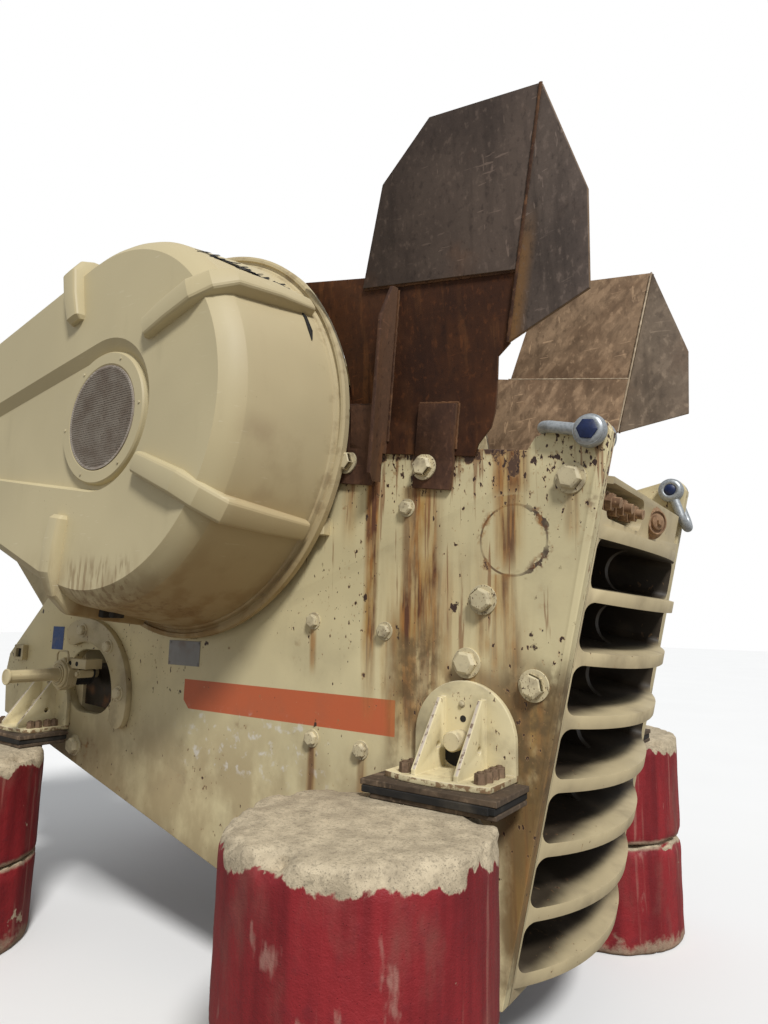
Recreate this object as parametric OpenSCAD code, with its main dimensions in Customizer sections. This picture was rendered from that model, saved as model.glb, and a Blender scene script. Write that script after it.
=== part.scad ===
// Single-toggle jaw crusher on four pillars of stacked concrete drums.
// X points to the front, the fixed-jaw end. The belt drive is on the -Y side.
// Z = 0 is the ground. Lengths are in millimetres.
// Most X values are counted from the eccentric shaft, which stands shaft_x from the origin.

/* [Frame] */
// Width over the two side plates
frame_w = 1500; // [1300:10:1700]
// Thickness of a side plate
plate_t = 60; // [50:1:68]
// Forward lean of the front edge, in degrees
front_lean = 12.2; // [11:0.1:13]
// Front edge at the bottom, ahead of the shaft
front_bottom_x = 1933; // [1900:1:1980]
// Height of the frame bottom above the ground
frame_bottom_z = 410; // [380:1:440]
// Fall of the plate top towards the front, in degrees
top_slope = 8.25; // [7:0.05:9]
// Front end of the plate top, ahead of the shaft
top_front_x = 2060; // [2040:1:2080]
// Height of the plate top at its front end
top_front_z = 2624; // [2600:1:2650]
// Rear end of the plate top, behind the shaft
top_rear_x = 480; // [460:1:520]
// Rear end of the side plates, behind the shaft
rear_end_x = 2011; // [1990:1:2060]

/* [Front casting] */
// Number of ribs in the front casting
rib_count = 8; // [7:1:8]
// Thickness of a rib
rib_t = 55; // [40:1:70]
// Distance between ribs
rib_pitch = 259.5; // [250:0.5:262]
// Middle of the lowest rib above the frame bottom, along the lean
rib_first = 86; // [70:1:100]
// Bulge of the rib edges at mid width
rib_bulge = 150; // [90:1:180]
// Bulge of the top rib
top_rib_bulge = 97; // [60:1:150]
// Depth of the casting behind the front edge
casting_depth = 520; // [500:1:540]
// Thickness of the wall behind the pockets
casting_wall = 90; // [60:1:120]
// Corner radius of the pockets
pocket_r = 50; // [30:1:70]

/* [Crushing chamber] */
// Thickness of a jaw die
die_t = 150; // [120:1:160]
// Gap between a jaw die and a cheek plate
die_gap = 12; // [8:1:52]
// Feed opening between the dies at the top
gape = 1000; // [980:1:1010]
// Discharge gap between the dies at the bottom
setting = 150; // [140:1:170]
// Thickness of a cheek plate
cheek_t = 38; // [20:1:38]

/* [Shaft and flywheels] */
// Height of the eccentric shaft above the ground
shaft_z = 2905; // [2890:1:2920]
// Radius of the shaft at the bearings
shaft_r = 180; // [150:1:200]
// Radius of the pitman barrel
barrel_r = 390; // [360:1:400]
// Outer radius of a bearing housing
housing_r = 400; // [380:1:420]
// Width of the pitman
pitman_w = 1090; // [1040:5:1100]
// Radius of a flywheel
flywheel_r = 900; // [860:1:920]
// Width of a flywheel
flywheel_w = 360; // [320:1:380]

/* [Guards] */
// Radius of the rim flange of the round guards
rim_r = 1138; // [1120:1:1160]
// Gap between a side plate and the guard rim
rim_gap = 50; // [50:1:70]
// Thickness of the rim flange
rim_t = 40; // [30:1:50]
// Radius of the guard wall at the rim
wall_r = 1080; // [1060:1:1090]
// Radius of the guard wall at its outer edge
edge_r = 985; // [960:1:1000]
// Radius of the flat face of the guard
face_r = 900; // [880:1:930]
// Depth of the guard wall
wall_depth = 520; // [500:1:540]
// Depth of the bevel in front of the wall
bevel_depth = 90; // [70:1:110]
// Thickness of the guard skin
skin_t = 15; // [10:1:20]
// Radius of the round grilles
grille_r = 279; // [260:1:300]

/* [Drive] */
// Motor shaft behind the eccentric shaft
motor_dx = 2000; // [1950:5:2050]
// Motor shaft above the eccentric shaft
motor_dz = 140; // [120:1:160]
// How much smaller the guard is round the motor pulley
guard_taper = 580; // [560:5:600]
// Radius of the motor body
motor_r = 300; // [280:1:310]
// Height of the motor shaft above the motor base
motor_shaft_h = 350; // [340:1:360]
// Radius of the motor pulley
pulley_r = 180; // [160:1:200]
// Thickness of the drive belts
belt_t = 14; // [10:1:20]

/* [Feed chute] */
// Outward lean of the chute walls, in degrees
chute_lean = 6.3; // [5:0.1:7]
// Thickness of the chute plates
chute_t = 15; // [12:1:16]
// Overlap of the chute on the side plate
chute_lap = 35; // [25:1:45]
// Height of the chute wall at its front end
wall_h = 845; // [830:1:870]
// Height of the wing top above the bottom of the chute
wing_h = 1586; // [1550:1:1620]
// Outward fold of the front wing, in degrees
wing_fold = 15; // [12:0.5:18]
// Width of a fixing bar
bar_w = 200; // [160:1:220]
// Thickness of a fixing bar
bar_t = 22; // [16:1:26]

/* [Feet and drums] */
// Middle of the front feet, ahead of the shaft
front_foot_x = 1775; // [1760:1:1790]
// Middle of the rear feet, behind the shaft
rear_foot_x = 1395; // [1370:1:1420]
// Height of the front drum tops
front_top_z = 1200; // [1190:1:1210]
// Height of the rear drum tops
rear_top_z = 1070; // [1060:1:1080]
// Thickness of the pads under the feet
pad_t = 70; // [50:1:80]
// Radius of the concrete drums
drum_r = 490; // [480:1:500]
// Height of an upper drum
drum_h = 600; // [580:1:620]
// Middle of the drums from the middle plane
drum_y = 1350; // [1345:1:1370]
// Middle of the front drums, ahead of the shaft
front_drum_x = 1670; // [1650:1:1690]
// Middle of the rear drums, behind the shaft
rear_drum_x = 1350; // [1330:1:1370]

/* [Lifting shackles] */
// Shackle pin ahead of the shaft
pin_x = 2341; // [2335:1:2345]
// Height of the shackle pin
pin_z = 2660; // [2655:1:2665]
// Radius of the shackle pin
pin_r = 28.5; // [26:0.5:30]
// Running clearance round the pin
pin_gap = 0.3; // [0.2:0.1:0.6]
// Radius of the lifting lug
lug_r = 70; // [66:1:72]
// Radius of the shackle bar
bar_r = 25; // [22:1:27]
// Distance from the pin to the middle of the crown
bow_len = 220; // [215:1:230]
// Side play between the shackle and the lug
jaw_play = 10; // [6:1:12]
// Angle of the near shackle above level, pointing back, in degrees
near_rest = 14; // [13.5:0.5:16]
// Angle of the far shackle ahead of straight down, in degrees
far_rest = 17.5; // [17:0.5:20]

/* [Hidden] */
$fn = 96;
// Places the shaft so that the origin is in the middle of the footprint
shaft_x = 61;
half_w = frame_w / 2;
inner_w = half_w - plate_t;
fit_gap = 0.3;
die_w = 2 * (inner_w - cheek_t - die_gap);
belt_gap = 1;
// Front and rear drums end in the same ground plane
front_low_h = front_top_z - drum_h;
rear_low_h = rear_top_z - drum_h;
// Profile of the side plates
casting_top_z = 2501;
front_len = (casting_top_z - frame_bottom_z) / cos(front_lean);
// Corners of the rear edge: offset from the rear end and height
rear_corners = [[0, 1592], [-30, 1460], [11, 1177]];
floor_start_x = 1000;
// Step from the plate top up to the lifting lug
lug_back = [37, 52];
// Jaw faces
chamber_top_z = 2560;
chamber_low_z = 560;
fixed_offset = (casting_depth + die_t) / cos(front_lean);
// Adjusting gear
port_x = [-1030, -900];
port_z = 1460;
port_r = 200;
ram_x = -1030;
ram_z = 1510;
toggle_r = 45;
toggle_front = [420, 905];
toggle_rear = [-600, 1385];
// Rod that holds the toggle plate in its seats
rod_front = [700, 620];
rod_rear = [-2180, 1110];
rod_r = 30;
spring_seat_x = -1540;
// Motor shaft
motor_x = -motor_dx;
motor_z = shaft_z + motor_dz;
base_z = motor_z - motor_shaft_h;
base_t = 40;
rim_y = half_w + rim_gap;
wall_y = rim_y + rim_t;
edge_y = wall_y + wall_depth;
face_y = edge_y + bevel_depth;
fly_y = wall_y + 20;
// Room kept free round the guard rims
guard_room = 12;
// Rear end of the chute walls and the foot of the front fold
chute_rear_u = -1640;
fold_u = -112;
fold_v = 493;
fold_tilt = 3.04;

cream = "#cdbf96";
beige = "#c2ad72";
brown = "#4a2f24";
steel = "#8d8d88";
crimson = "#8e1f2b";

function front_x(z) = front_bottom_x + tan(front_lean) * (z - frame_bottom_z);
function top_z(x) = top_front_z + tan(top_slope) * (top_front_x - x);
function fixed_face_x(z) = front_x(z) - fixed_offset;
moving_top_x = fixed_face_x(chamber_top_z) - gape;
moving_low_x = fixed_face_x(chamber_low_z) - setting;
jaw_slope = (moving_low_x - moving_top_x) / (chamber_top_z - chamber_low_z);
jaw_angle = atan(jaw_slope);
function moving_face_x(z) = moving_top_x + jaw_slope * (chamber_top_z - z);

// Children are drawn in X and Z and fill the space from y0 to y1
module xz(y0, y1) {
    translate([0, y1, 0]) rotate([90, 0, 0]) linear_extrude(y1 - y0) children();
}

module round_bar(x, z, y0, y1, r) {
    translate([x, y1, z]) rotate([90, 0, 0]) cylinder(h = y1 - y0, r = r);
}

module from_shaft() {
    translate([shaft_x, 0, 0]) children();
}

module both_sides() {
    children();
    mirror([0, 1, 0]) children();
}

// Frame of the leaning front edge: X outwards, Z up along the edge
module lean_frame() {
    translate([front_bottom_x, 0, frame_bottom_z]) rotate([0, front_lean, 0]) children();
}

module plate_outline() {
    difference() {
        union() {
            polygon(concat([[front_bottom_x, frame_bottom_z],
                [front_x(pin_z), pin_z],
                [pin_x, pin_z + lug_r],
                [top_front_x + lug_back[0], top_front_z + lug_back[1]],
                [top_front_x, top_front_z],
                [-top_rear_x, top_z(-top_rear_x)]],
                [for (c = rear_corners) [c[0] - rear_end_x, c[1]]],
                [[floor_start_x, frame_bottom_z]]));
            translate([pin_x, pin_z]) circle(r = lug_r);
        }
        translate([pin_x, pin_z]) circle(r = pin_r + pin_gap);
        translate([0, shaft_z]) circle(r = housing_r + fit_gap);
        for (x = port_x) translate([x, port_z]) circle(r = port_r);
        translate([port_x[0], port_z - port_r]) square([port_x[1] - port_x[0], 2 * port_r]);
    }
}

module near_side_plate() {
    color(cream) from_shaft() xz(-half_w, -inner_w) plate_outline();
}

module far_side_plate() {
    color(cream) from_shaft() xz(inner_w, half_w) plate_outline();
}

// Rounded rectangle from (-w/2, -h/2) to (w/2, h/2)
module round_rect(w, h, r) {
    square([w - 2 * r, h], center = true);
    square([w, h - 2 * r], center = true);
    for (sx = [-1, 1], sy = [-1, 1])
        translate([sx * (w / 2 - r), sy * (h / 2 - r)]) circle(r = r);
}

top_rib_b = rib_first + (rib_count - 1) * rib_pitch;
pocket_h = rib_pitch - rib_t;
pocket_w = 2 * (inner_w - 20);

// Bowed block ahead of the front edge, from z0 to z1 along the lean
module bowed_block(bulge, z0, z1) {
    r = (pow(pocket_w / 2, 2) + pow(bulge, 2)) / (2 * bulge);
    translate([0, 0, z0]) intersection() {
        translate([bulge - r, 0, 0]) cylinder(h = z1 - z0, r = r);
        translate([-1, -pocket_w / 2, 0]) cube([bulge + 1, pocket_w, z1 - z0]);
    }
}

module front_frame() {
    color(cream) from_shaft() lean_frame() difference() {
        union() {
            translate([-casting_depth, fit_gap - inner_w, 0])
                cube([casting_depth, 2 * (inner_w - fit_gap), front_len]);
            bowed_block(rib_bulge, rib_first - rib_t / 2, top_rib_b - rib_pitch + rib_t / 2);
            bowed_block(top_rib_bulge, top_rib_b - rib_t / 2, top_rib_b + rib_t / 2);
        }
        for (i = [0 : rib_count - 2])
            translate([casting_wall - casting_depth, 0, rib_first + (i + 0.5) * rib_pitch])
                rotate([90, 0, 90]) linear_extrude(casting_depth + rib_bulge)
                    round_rect(pocket_w, pocket_h, pocket_r);
        clamp_window();
        // Room for the hanging shackles at both top corners
        both_sides() translate([-shackle_room, -inner_w - 1, front_len - window_h])
            cube([shackle_room + 1, shackle_room + 1, window_h + 1]);
    }
}

window_w = 540;
window_y = -370;
window_h = 150;
window_depth = 260;
shackle_room = 75;

module clamp_window() {
    translate([-window_depth, window_y, front_len - 25 - window_h / 2])
        rotate([90, 0, 90]) linear_extrude(window_depth + 1)
            round_rect(window_w, window_h, pocket_r);
}

module jaw_clamp_bosses() {
    color(brown) from_shaft() lean_frame()
        for (y = [-560, -380, -200]) translate([-window_depth, y, front_len - 100]) rotate([0, 90, 0]) {
            cylinder(h = 150, r = 42);
            translate([0, 0, 150]) cylinder(h = 40, r = 34, $fn = 6);
        }
}

rear_outline = [[-1135, 1740], [-1135, 1215], [-1500, 1150], [-1940, 1220], [-1990, 1450],
    [-1960, 1580], [-1800, 1730], [-1640, 1830]];

// Open pockets of the rear casting: length, width and height, and their spacing
rear_pocket = [560, 250, 260];
rear_pitch = 320;

module rear_frame() {
    color(cream) from_shaft() difference() {
        union() {
            xz(-inner_w, inner_w) polygon(rear_outline);
            // Lug that the tension spring pushes against
            xz(-90, 90) translate([spring_seat_x, 880]) square([70, 300]);
        }
        for (i = [-1.5 : 1 : 1.5])
            translate([rear_outline[4][0] - 10, i * rear_pitch - rear_pocket[1] / 2, 1290])
                cube(rear_pocket);
        rod_bore();
    }
}

rod_dx = rod_front[0] - rod_rear[0];
rod_dz = rod_rear[1] - rod_front[1];
rod_len = sqrt(rod_dx * rod_dx + rod_dz * rod_dz);
rod_tilt = atan(rod_dz / rod_dx);

// Frame at the rear end of the rod, with Z along it towards the pitman
module rod_frame() {
    translate([rod_rear[0], 0, rod_rear[1]]) rotate([0, 90 + rod_tilt, 0]) children();
}

module rod_bore() {
    rod_frame() cylinder(h = rod_len, r = rod_r + fit_gap);
}

module tension_rod() {
    color(steel) from_shaft() rod_frame() {
        cylinder(h = rod_len, r = rod_r);
        cylinder(h = 50, r = 80);
    }
}

module tension_spring() {
    color("#3a3a3a") from_shaft() rod_frame() translate([0, 0, 50 + fit_gap])
        difference() {
            cylinder(h = spring_len, r = 72);
            translate([0, 0, -1]) cylinder(h = spring_len + 2, r = rod_r + 5);
        }
}

spring_len = (spring_seat_x - rod_rear[0]) / cos(rod_tilt) - 50 - 20;

module fixed_jaw_die() {
    color(steel) from_shaft() lean_frame()
        translate([-casting_depth - die_t, -die_w / 2, 20])
            cube([die_t - fit_gap, die_w, front_len - 40]);
}

// Frame of the moving jaw face: X towards the fixed jaw, Z up along the face
module jaw_frame() {
    translate([moving_low_x, 0, chamber_low_z]) rotate([0, -jaw_angle, 0]) children();
}

jaw_len = (chamber_top_z - chamber_low_z) / cos(jaw_angle);

module moving_jaw_die() {
    color(steel) from_shaft() jaw_frame()
        translate([-die_t, -die_w / 2, 0]) cube([die_t, die_w, jaw_len]);
}

module pitman_outline() {
    back = die_t + fit_gap;
    c = cos(jaw_angle);
    s = sin(jaw_angle);
    top = [moving_top_x - back * c, chamber_top_z - back * s];
    low = [moving_low_x - back * c, chamber_low_z - back * s];
    polygon([[0, shaft_z + barrel_r - 60], [200, shaft_z + 270], [460, shaft_z], top, low,
        [low[0] - 150, low[1] - 60], [low[0] - 330, low[1]], [toggle_front[0] + 30, 800],
        toggle_front + [15, 0], toggle_front + [15, 95], [300, 1190], [-60, 2000],
        [-barrel_r + 60, shaft_z - 120]]);
}

module pitman() {
    color(cream) from_shaft() difference() {
        union() {
            xz(-pitman_w / 2, pitman_w / 2) pitman_outline();
            round_bar(0, shaft_z, -pitman_w / 2, pitman_w / 2, barrel_r);
        }
        round_bar(0, shaft_z, -pitman_w, pitman_w, shaft_r + fit_gap);
        round_bar(toggle_front[0], toggle_front[1], -pitman_w, pitman_w, toggle_r + fit_gap);
        rod_bore();
    }
}

module cheek_plates() {
    front = (casting_depth + 10) / cos(front_lean);
    low = 700;
    high = 2500;
    color(steel) from_shaft() both_sides() xz(-inner_w, cheek_t - inner_w)
        polygon([[front_x(high) - front, high], [front_x(low) - front, low],
            [moving_face_x(low) - 60, low], [moving_face_x(high) - 60, high]]);
}

module eccentric_shaft() {
    color(steel) from_shaft() {
        round_bar(0, shaft_z, -half_w - 40, half_w + 40, shaft_r);
        round_bar(0, shaft_z, -fly_y - flywheel_w - 30, fly_y + flywheel_w + 30, shaft_r - 40);
    }
}

module bearing_housings() {
    color(cream) from_shaft() both_sides() difference() {
        union() {
            round_bar(0, shaft_z, -half_w - 35, -pitman_w / 2 - 15, housing_r);
            // Cap flange above the split line, between the side plates
            translate([-housing_r - 60, fit_gap - inner_w, shaft_z + 40])
                cube([2 * housing_r + 120, 90, 90]);
        }
        round_bar(0, shaft_z, -half_w - 50, 0, shaft_r + fit_gap);
    }
}

// Profile of a flywheel half, turned about the shaft
module flywheel(grooves) {
    rim = 130;
    web = 90;
    difference() {
        union() {
            difference() {
                cylinder(h = flywheel_w, r = flywheel_r);
                translate([0, 0, -1]) cylinder(h = (flywheel_w - web) / 2 + 1, r = flywheel_r - rim);
                translate([0, 0, (flywheel_w + web) / 2])
                    cylinder(h = flywheel_w, r = flywheel_r - rim);
            }
            cylinder(h = flywheel_w, r = 260);
        }
        translate([0, 0, -1]) cylinder(h = flywheel_w + 2, r = shaft_r - 40 + fit_gap);
        if (grooves) translate([0, 0, 40]) difference() {
            cylinder(h = flywheel_w - 80, r = flywheel_r + 1);
            cylinder(h = flywheel_w - 80, r = flywheel_r - 20);
        }
    }
}

module near_flywheel() {
    color(cream) from_shaft() translate([0, -fly_y, shaft_z]) rotate([90, 0, 0]) flywheel(true);
}

module far_flywheel() {
    color(cream) from_shaft() translate([0, fly_y, shaft_z]) rotate([-90, 0, 0]) flywheel(false);
}

// Tapered solid round both shafts, from y0 outwards over a depth
module belt_case(y0, depth, r0, r1) {
    hull() {
        translate([0, -y0, shaft_z]) rotate([90, 0, 0])
            cylinder(h = depth, r1 = r0, r2 = r1);
        translate([motor_x, -y0, motor_z]) rotate([90, 0, 0])
            cylinder(h = depth, r1 = r0 - guard_taper, r2 = r1 - guard_taper);
    }
}

module drive_guard() {
    color(beige) from_shaft() difference() {
        union() {
            belt_case(rim_y, rim_t, rim_r, rim_r);
            belt_case(wall_y, wall_depth, wall_r, edge_r);
            belt_case(edge_y, bevel_depth, edge_r, face_r);
        }
        belt_case(rim_y - 1, edge_y - rim_y - skin_t + 1, wall_r - skin_t, edge_r - skin_t);
        belt_case(edge_y - skin_t, bevel_depth, edge_r - skin_t, face_r - skin_t);
        round_bar(0, shaft_z, -face_y - 1, -edge_y, grille_r);
    }
}

// Solid of turning round the shaft for the far guard
module round_case(y0, depth, r0, r1) {
    translate([0, y0, shaft_z]) rotate([-90, 0, 0]) cylinder(h = depth, r1 = r0, r2 = r1);
}

module far_guard() {
    color(beige) from_shaft() difference() {
        union() {
            round_case(rim_y, rim_t, rim_r, rim_r);
            round_case(wall_y, wall_depth, wall_r, edge_r);
            round_case(edge_y, bevel_depth, edge_r, face_r);
        }
        round_case(rim_y - 1, edge_y - rim_y - skin_t + 1, wall_r - skin_t, edge_r - skin_t);
        round_case(edge_y - skin_t, bevel_depth, edge_r - skin_t, face_r - skin_t);
        round_bar(0, shaft_z, edge_y, face_y + 1, grille_r);
    }
}

module guard_grilles() {
    color("#6a625c") from_shaft() both_sides()
        round_bar(0, shaft_z, -face_y + 3, -face_y + skin_t - 2, grille_r);
}

module guard_brackets() {
    r = rim_r - 40;
    color(cream) from_shaft() {
        both_sides() for (a = [-30, -90, -150])
            translate([r * cos(a), -rim_y, shaft_z + r * sin(a)])
                translate([-45, 0, -45]) cube([90, rim_gap, 90]);
        // Bar from the motor base to the rim round the pulley
        translate([motor_x - 40, -rim_y, motor_z - rim_r + guard_taper + 12])
            cube([80, rim_y - inner_w, base_z - base_t - motor_z + rim_r - guard_taper - 12]);
    }
}

module motor() {
    color("#5d6a72") from_shaft() {
        round_bar(motor_x, motor_z, -560, 480, motor_r);
        round_bar(motor_x, motor_z, -620, -560, motor_r - 60);
        round_bar(motor_x, motor_z, 480, 620, motor_r - 10);
        round_bar(motor_x, motor_z, -fly_y - 310, -620, 45);
        // Feet
        for (y = [-420, 300]) translate([motor_x - 310, y, base_z]) cube([620, 120, 60]);
        translate([motor_x - 260, -420, base_z + 30]) cube([520, 840, 130]);
        // Terminal box
        translate([motor_x - 130, -180, motor_z + motor_r - 60]) cube([260, 320, 200]);
    }
}

belt_y = fly_y + 45;
belt_w = flywheel_w - 90;

module motor_pulley() {
    color(steel) from_shaft() difference() {
        round_bar(motor_x, motor_z, -belt_y - belt_w - 10, -belt_y + 10, pulley_r);
        round_bar(motor_x, motor_z, -belt_y - belt_w - 20, -belt_y + 20, 45 + fit_gap);
    }
}

module belt_loop(grow) {
    hull() {
        translate([0, shaft_z]) circle(r = flywheel_r - 20 + grow);
        translate([motor_x, motor_z]) circle(r = pulley_r + grow);
    }
}

module drive_belts() {
    color("#222222") from_shaft() xz(-belt_y - belt_w, -belt_y) difference() {
        belt_loop(belt_t + belt_gap);
        belt_loop(belt_gap);
    }
}

module motor_base() {
    color(cream) from_shaft() {
        translate([motor_x - 520, -inner_w, base_z - base_t]) cube([1070, 2 * inner_w, base_t]);
        translate([motor_x - 520, -inner_w, base_z - 180]) cube([40, 2 * inner_w, 180]);
    }
}

bracket_t = 40;

module motor_brackets() {
    color(cream) from_shaft() both_sides() xz(-inner_w, bracket_t - inner_w)
        polygon([[-900, 2700], [-1000, 2380], [-1500, 1960], [-1640, 1850], [-1760, 1960],
            [motor_x - 480, base_z - 180], [motor_x - 480, base_z - base_t],
            [-1450, base_z - base_t], [-1050, 2700]]);
}

// Frame of a chute wall: X along the plate top, Z up the leaning wall, -Y outwards
module chute_frame() {
    translate([top_front_x, -half_w, top_front_z]) rotate([0, top_slope, 0])
        translate([0, 0, -chute_lap]) rotate([chute_lean, 0, 0]) children();
}

// The chute stays behind the rim of the guard
module guard_space() {
    round_bar(0, shaft_z, -edge_y, guard_room - rim_y, rim_r + guard_room);
}

module chute_wall() {
    difference() {
        chute_frame() xz(-chute_t, 0)
            polygon([[chute_rear_u, 0], [-240, 0], [-226, 54], [-170, 130], [-156, 200],
                [-155, 295], [-163, 440], [fold_u, fold_v], [-89, wall_h], [-930, wall_h + 32],
                [chute_rear_u, wall_h + 78]]);
        guard_space();
    }
}

module chute_wing() {
    top_u = fold_u + tan(fold_tilt) * (wing_h - fold_v);
    low_v = wall_h - wing_lap;
    low_u = fold_u + tan(fold_tilt) * (low_v - fold_v);
    chute_frame() xz(-2 * chute_t, -chute_t)
        polygon([[low_u, low_v], [top_u, wing_h], [top_u - 556, wing_h],
            [top_u - 802, wing_h - 267], [top_u - 876, low_v + 15]]);
}

module chute_front_wing() {
    s_top = (wing_h - fold_v) / cos(fold_tilt);
    chute_frame() translate([fold_u, -2 * chute_t, fold_v]) rotate([0, fold_tilt, 0])
        rotate([0, 0, -wing_fold]) xz(0, chute_t)
            polygon([[0, 0], [0, s_top], [305, s_top - 516], [376, s_top - 914]]);
}

bar_low = 159;
bar_high = 235;
wing_lap = 40;

module chute_bars() {
    difference() {
        fixing_bars();
        guard_space();
    }
    // Standing stiffener
    chute_frame() translate([-740, 0, 0]) rotate([90, 0, 90]) linear_extrude(20)
        polygon([[-chute_t, 0], [-chute_t, wall_h - wing_lap - 5], [-60, wall_h - wing_lap - 5],
            [-chute_t - 120, 640], [-chute_t - 120, -100], [-110, -140], [-45, -140], [-45, 0]]);
}

// Point of a leaning chute wall, seen along the plate top
function leaning(y, v) = [y * cos(chute_lean) - v * sin(chute_lean),
    y * sin(chute_lean) + v * cos(chute_lean) - chute_lap];

// Bent bars: the lower half lies flat on the side plate, the upper half leans with the wall
module fixing_bars() {
    for (u = [-440, -875])
        translate([top_front_x, -half_w, top_front_z]) rotate([0, top_slope, 0])
            translate([u - bar_w / 2, 0, 0]) rotate([90, 0, 90]) linear_extrude(bar_w)
                polygon([[0, -chute_lap - bar_low], [0, -chute_lap - 3], leaning(-chute_t, -3),
                    leaning(-chute_t, bar_high), leaning(-chute_t - bar_t, bar_high),
                    leaning(-chute_t - bar_t, bar_t / 2), [-bar_t, -chute_lap - bar_t],
                    [-bar_t, -chute_lap - bar_low]]);
}

module near_chute_wall() { color(brown) from_shaft() chute_wall(); }
module near_chute_wing() { color(brown) from_shaft() chute_wing(); }
module near_chute_front_wing() { color(brown) from_shaft() chute_front_wing(); }
module near_chute_bars() { color(brown) from_shaft() chute_bars(); }
module far_chute_wall() { color(brown) from_shaft() mirror([0, 1, 0]) chute_wall(); }
module far_chute_wing() { color(brown) from_shaft() mirror([0, 1, 0]) chute_wing(); }
module far_chute_front_wing() {
    color(brown) from_shaft() mirror([0, 1, 0]) chute_front_wing();
}
module far_chute_bars() { color(brown) from_shaft() mirror([0, 1, 0]) chute_bars(); }

foot_w = 470;
foot_h = 380;
foot_depth = 300;
foot_plate_t = 30;
foot_base_t = 25;

// Bolted foot with a half-round back plate and two gussets, its base at height z
module foot(x, z) {
    r = foot_w / 2;
    translate([x, 0, z]) {
        xz(-half_w - foot_plate_t, -half_w) intersection() {
            union() {
                translate([0, foot_h - r]) circle(r = r);
                translate([-r, 0]) square([foot_w, foot_h - r]);
            }
            translate([-r, 0]) square([foot_w, foot_h]);
        }
        intersection() {
            translate([-r, -half_w - foot_depth - 40, 0]) cube([foot_w, foot_depth + 40, foot_base_t]);
            translate([0, -half_w + 420, 0]) cylinder(h = foot_base_t, r = 420 + foot_depth);
        }
        for (s = [-1, 1]) translate([s * 95 - 11, -half_w, 0]) rotate([90, 0, 90])
            linear_extrude(22) polygon([[-foot_plate_t + 1, 0], [-foot_plate_t + 1, foot_h - 70],
                [-foot_plate_t - 35, foot_h - 70], [-foot_depth + 30, foot_base_t + 20],
                [-foot_depth + 30, 0]]);
    }
}

module front_feet() {
    color(cream) from_shaft() both_sides() foot(front_foot_x, front_top_z + pad_t);
}

module rear_feet() {
    color(cream) from_shaft() both_sides() foot(-rear_foot_x, rear_top_z + pad_t);
}

pad_w = 600;
pad_depth = 330;
pad_in = 25;

module foot_pads() {
    color("#2c2a28") from_shaft() both_sides() {
        translate([front_foot_x - pad_w / 2, -half_w - pad_in - pad_depth, front_top_z])
            cube([pad_w, pad_depth, pad_t]);
        translate([-rear_foot_x - pad_w / 2, -half_w - pad_in - pad_depth, rear_top_z])
            cube([pad_w, pad_depth, pad_t]);
    }
}

module upper_drums() {
    color(crimson) from_shaft() both_sides() {
        translate([front_drum_x, -drum_y, front_top_z - drum_h]) cylinder(h = drum_h, r = drum_r);
        translate([-rear_drum_x, -drum_y, rear_top_z - drum_h]) cylinder(h = drum_h, r = drum_r);
    }
}

module lower_drums() {
    color(crimson) from_shaft() both_sides() {
        translate([front_drum_x, -drum_y, 0]) cylinder(h = front_low_h, r = drum_r);
        translate([-rear_drum_x, -drum_y, 0]) cylinder(h = rear_low_h, r = drum_r);
    }
}

toggle_dx = toggle_front[0] - toggle_rear[0];
toggle_dz = toggle_rear[1] - toggle_front[1];
toggle_len = sqrt(toggle_dx * toggle_dx + toggle_dz * toggle_dz);
toggle_tilt = atan(toggle_dz / toggle_dx);

module toggle_plate() {
    color(steel) from_shaft() {
        round_bar(toggle_front[0], toggle_front[1], -500, 500, toggle_r);
        round_bar(toggle_rear[0], toggle_rear[1], -500, 500, toggle_r);
        translate([toggle_rear[0], -500, toggle_rear[1]]) rotate([0, toggle_tilt, 0])
            translate([0, 0, -35]) cube([toggle_len, 1000, 70]);
    }
}

module adjusting_wedge() {
    color(steel) from_shaft() difference() {
        xz(-inner_w + 20, inner_w - 20)
            polygon([[-1134, 1560], [-1134, 1300], [-toggle_r - 560, 1270], toggle_rear,
                [-620, 1530]]);
        round_bar(toggle_rear[0], toggle_rear[1], -inner_w, inner_w, toggle_r + fit_gap);
    }
}

flange_in = 330;
flange_out = 480;
flange_t = 40;
flange_x = -1000;
flange_z = 1380;

flange_from = -15;
flange_to = 112;

// Arc-shaped flange beside the adjusting port, with rounded ends
module adjuster_flange() {
    mid = (flange_in + flange_out) / 2;
    reach = 2 * flange_out;
    xz(-half_w - flange_t, -half_w) translate([flange_x, flange_z]) {
        intersection() {
            difference() {
                circle(r = flange_out);
                circle(r = flange_in);
            }
            polygon([[0, 0], for (k = [0 : 4]) let (a = flange_from + k * (flange_to - flange_from) / 4)
                [reach * cos(a), reach * sin(a)]]);
        }
        for (a = [flange_from, flange_to]) translate([mid * cos(a), mid * sin(a)])
            circle(r = flange_out - mid - 3);
    }
}

module adjuster_flanges() {
    color(cream) from_shaft() both_sides() adjuster_flange();
}

module adjuster_cylinders() {
    color(cream) from_shaft() both_sides() {
        round_bar(ram_x, ram_z, -1250, -930, 38);
        round_bar(ram_x, ram_z, -1262, -1250, 46);
        round_bar(ram_x, ram_z, -930, -850, 82);
        round_bar(ram_x, ram_z, -850, -inner_w + 20, 34);
        // Arm from the flange to the cylinder hub
        translate([ram_x, -905, ram_z + 40]) cube([240, 50, 60]);
        translate([ram_x + 180, -905, ram_z + 40]) cube([60, 905 - half_w - flange_t, 60]);
    }
}

eye_r = 62;
eye_t = 2 * bar_r;
arm_y = plate_t / 2 + jaw_play + bar_r;
eye_y = plate_t / 2 + jaw_play;

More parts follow.
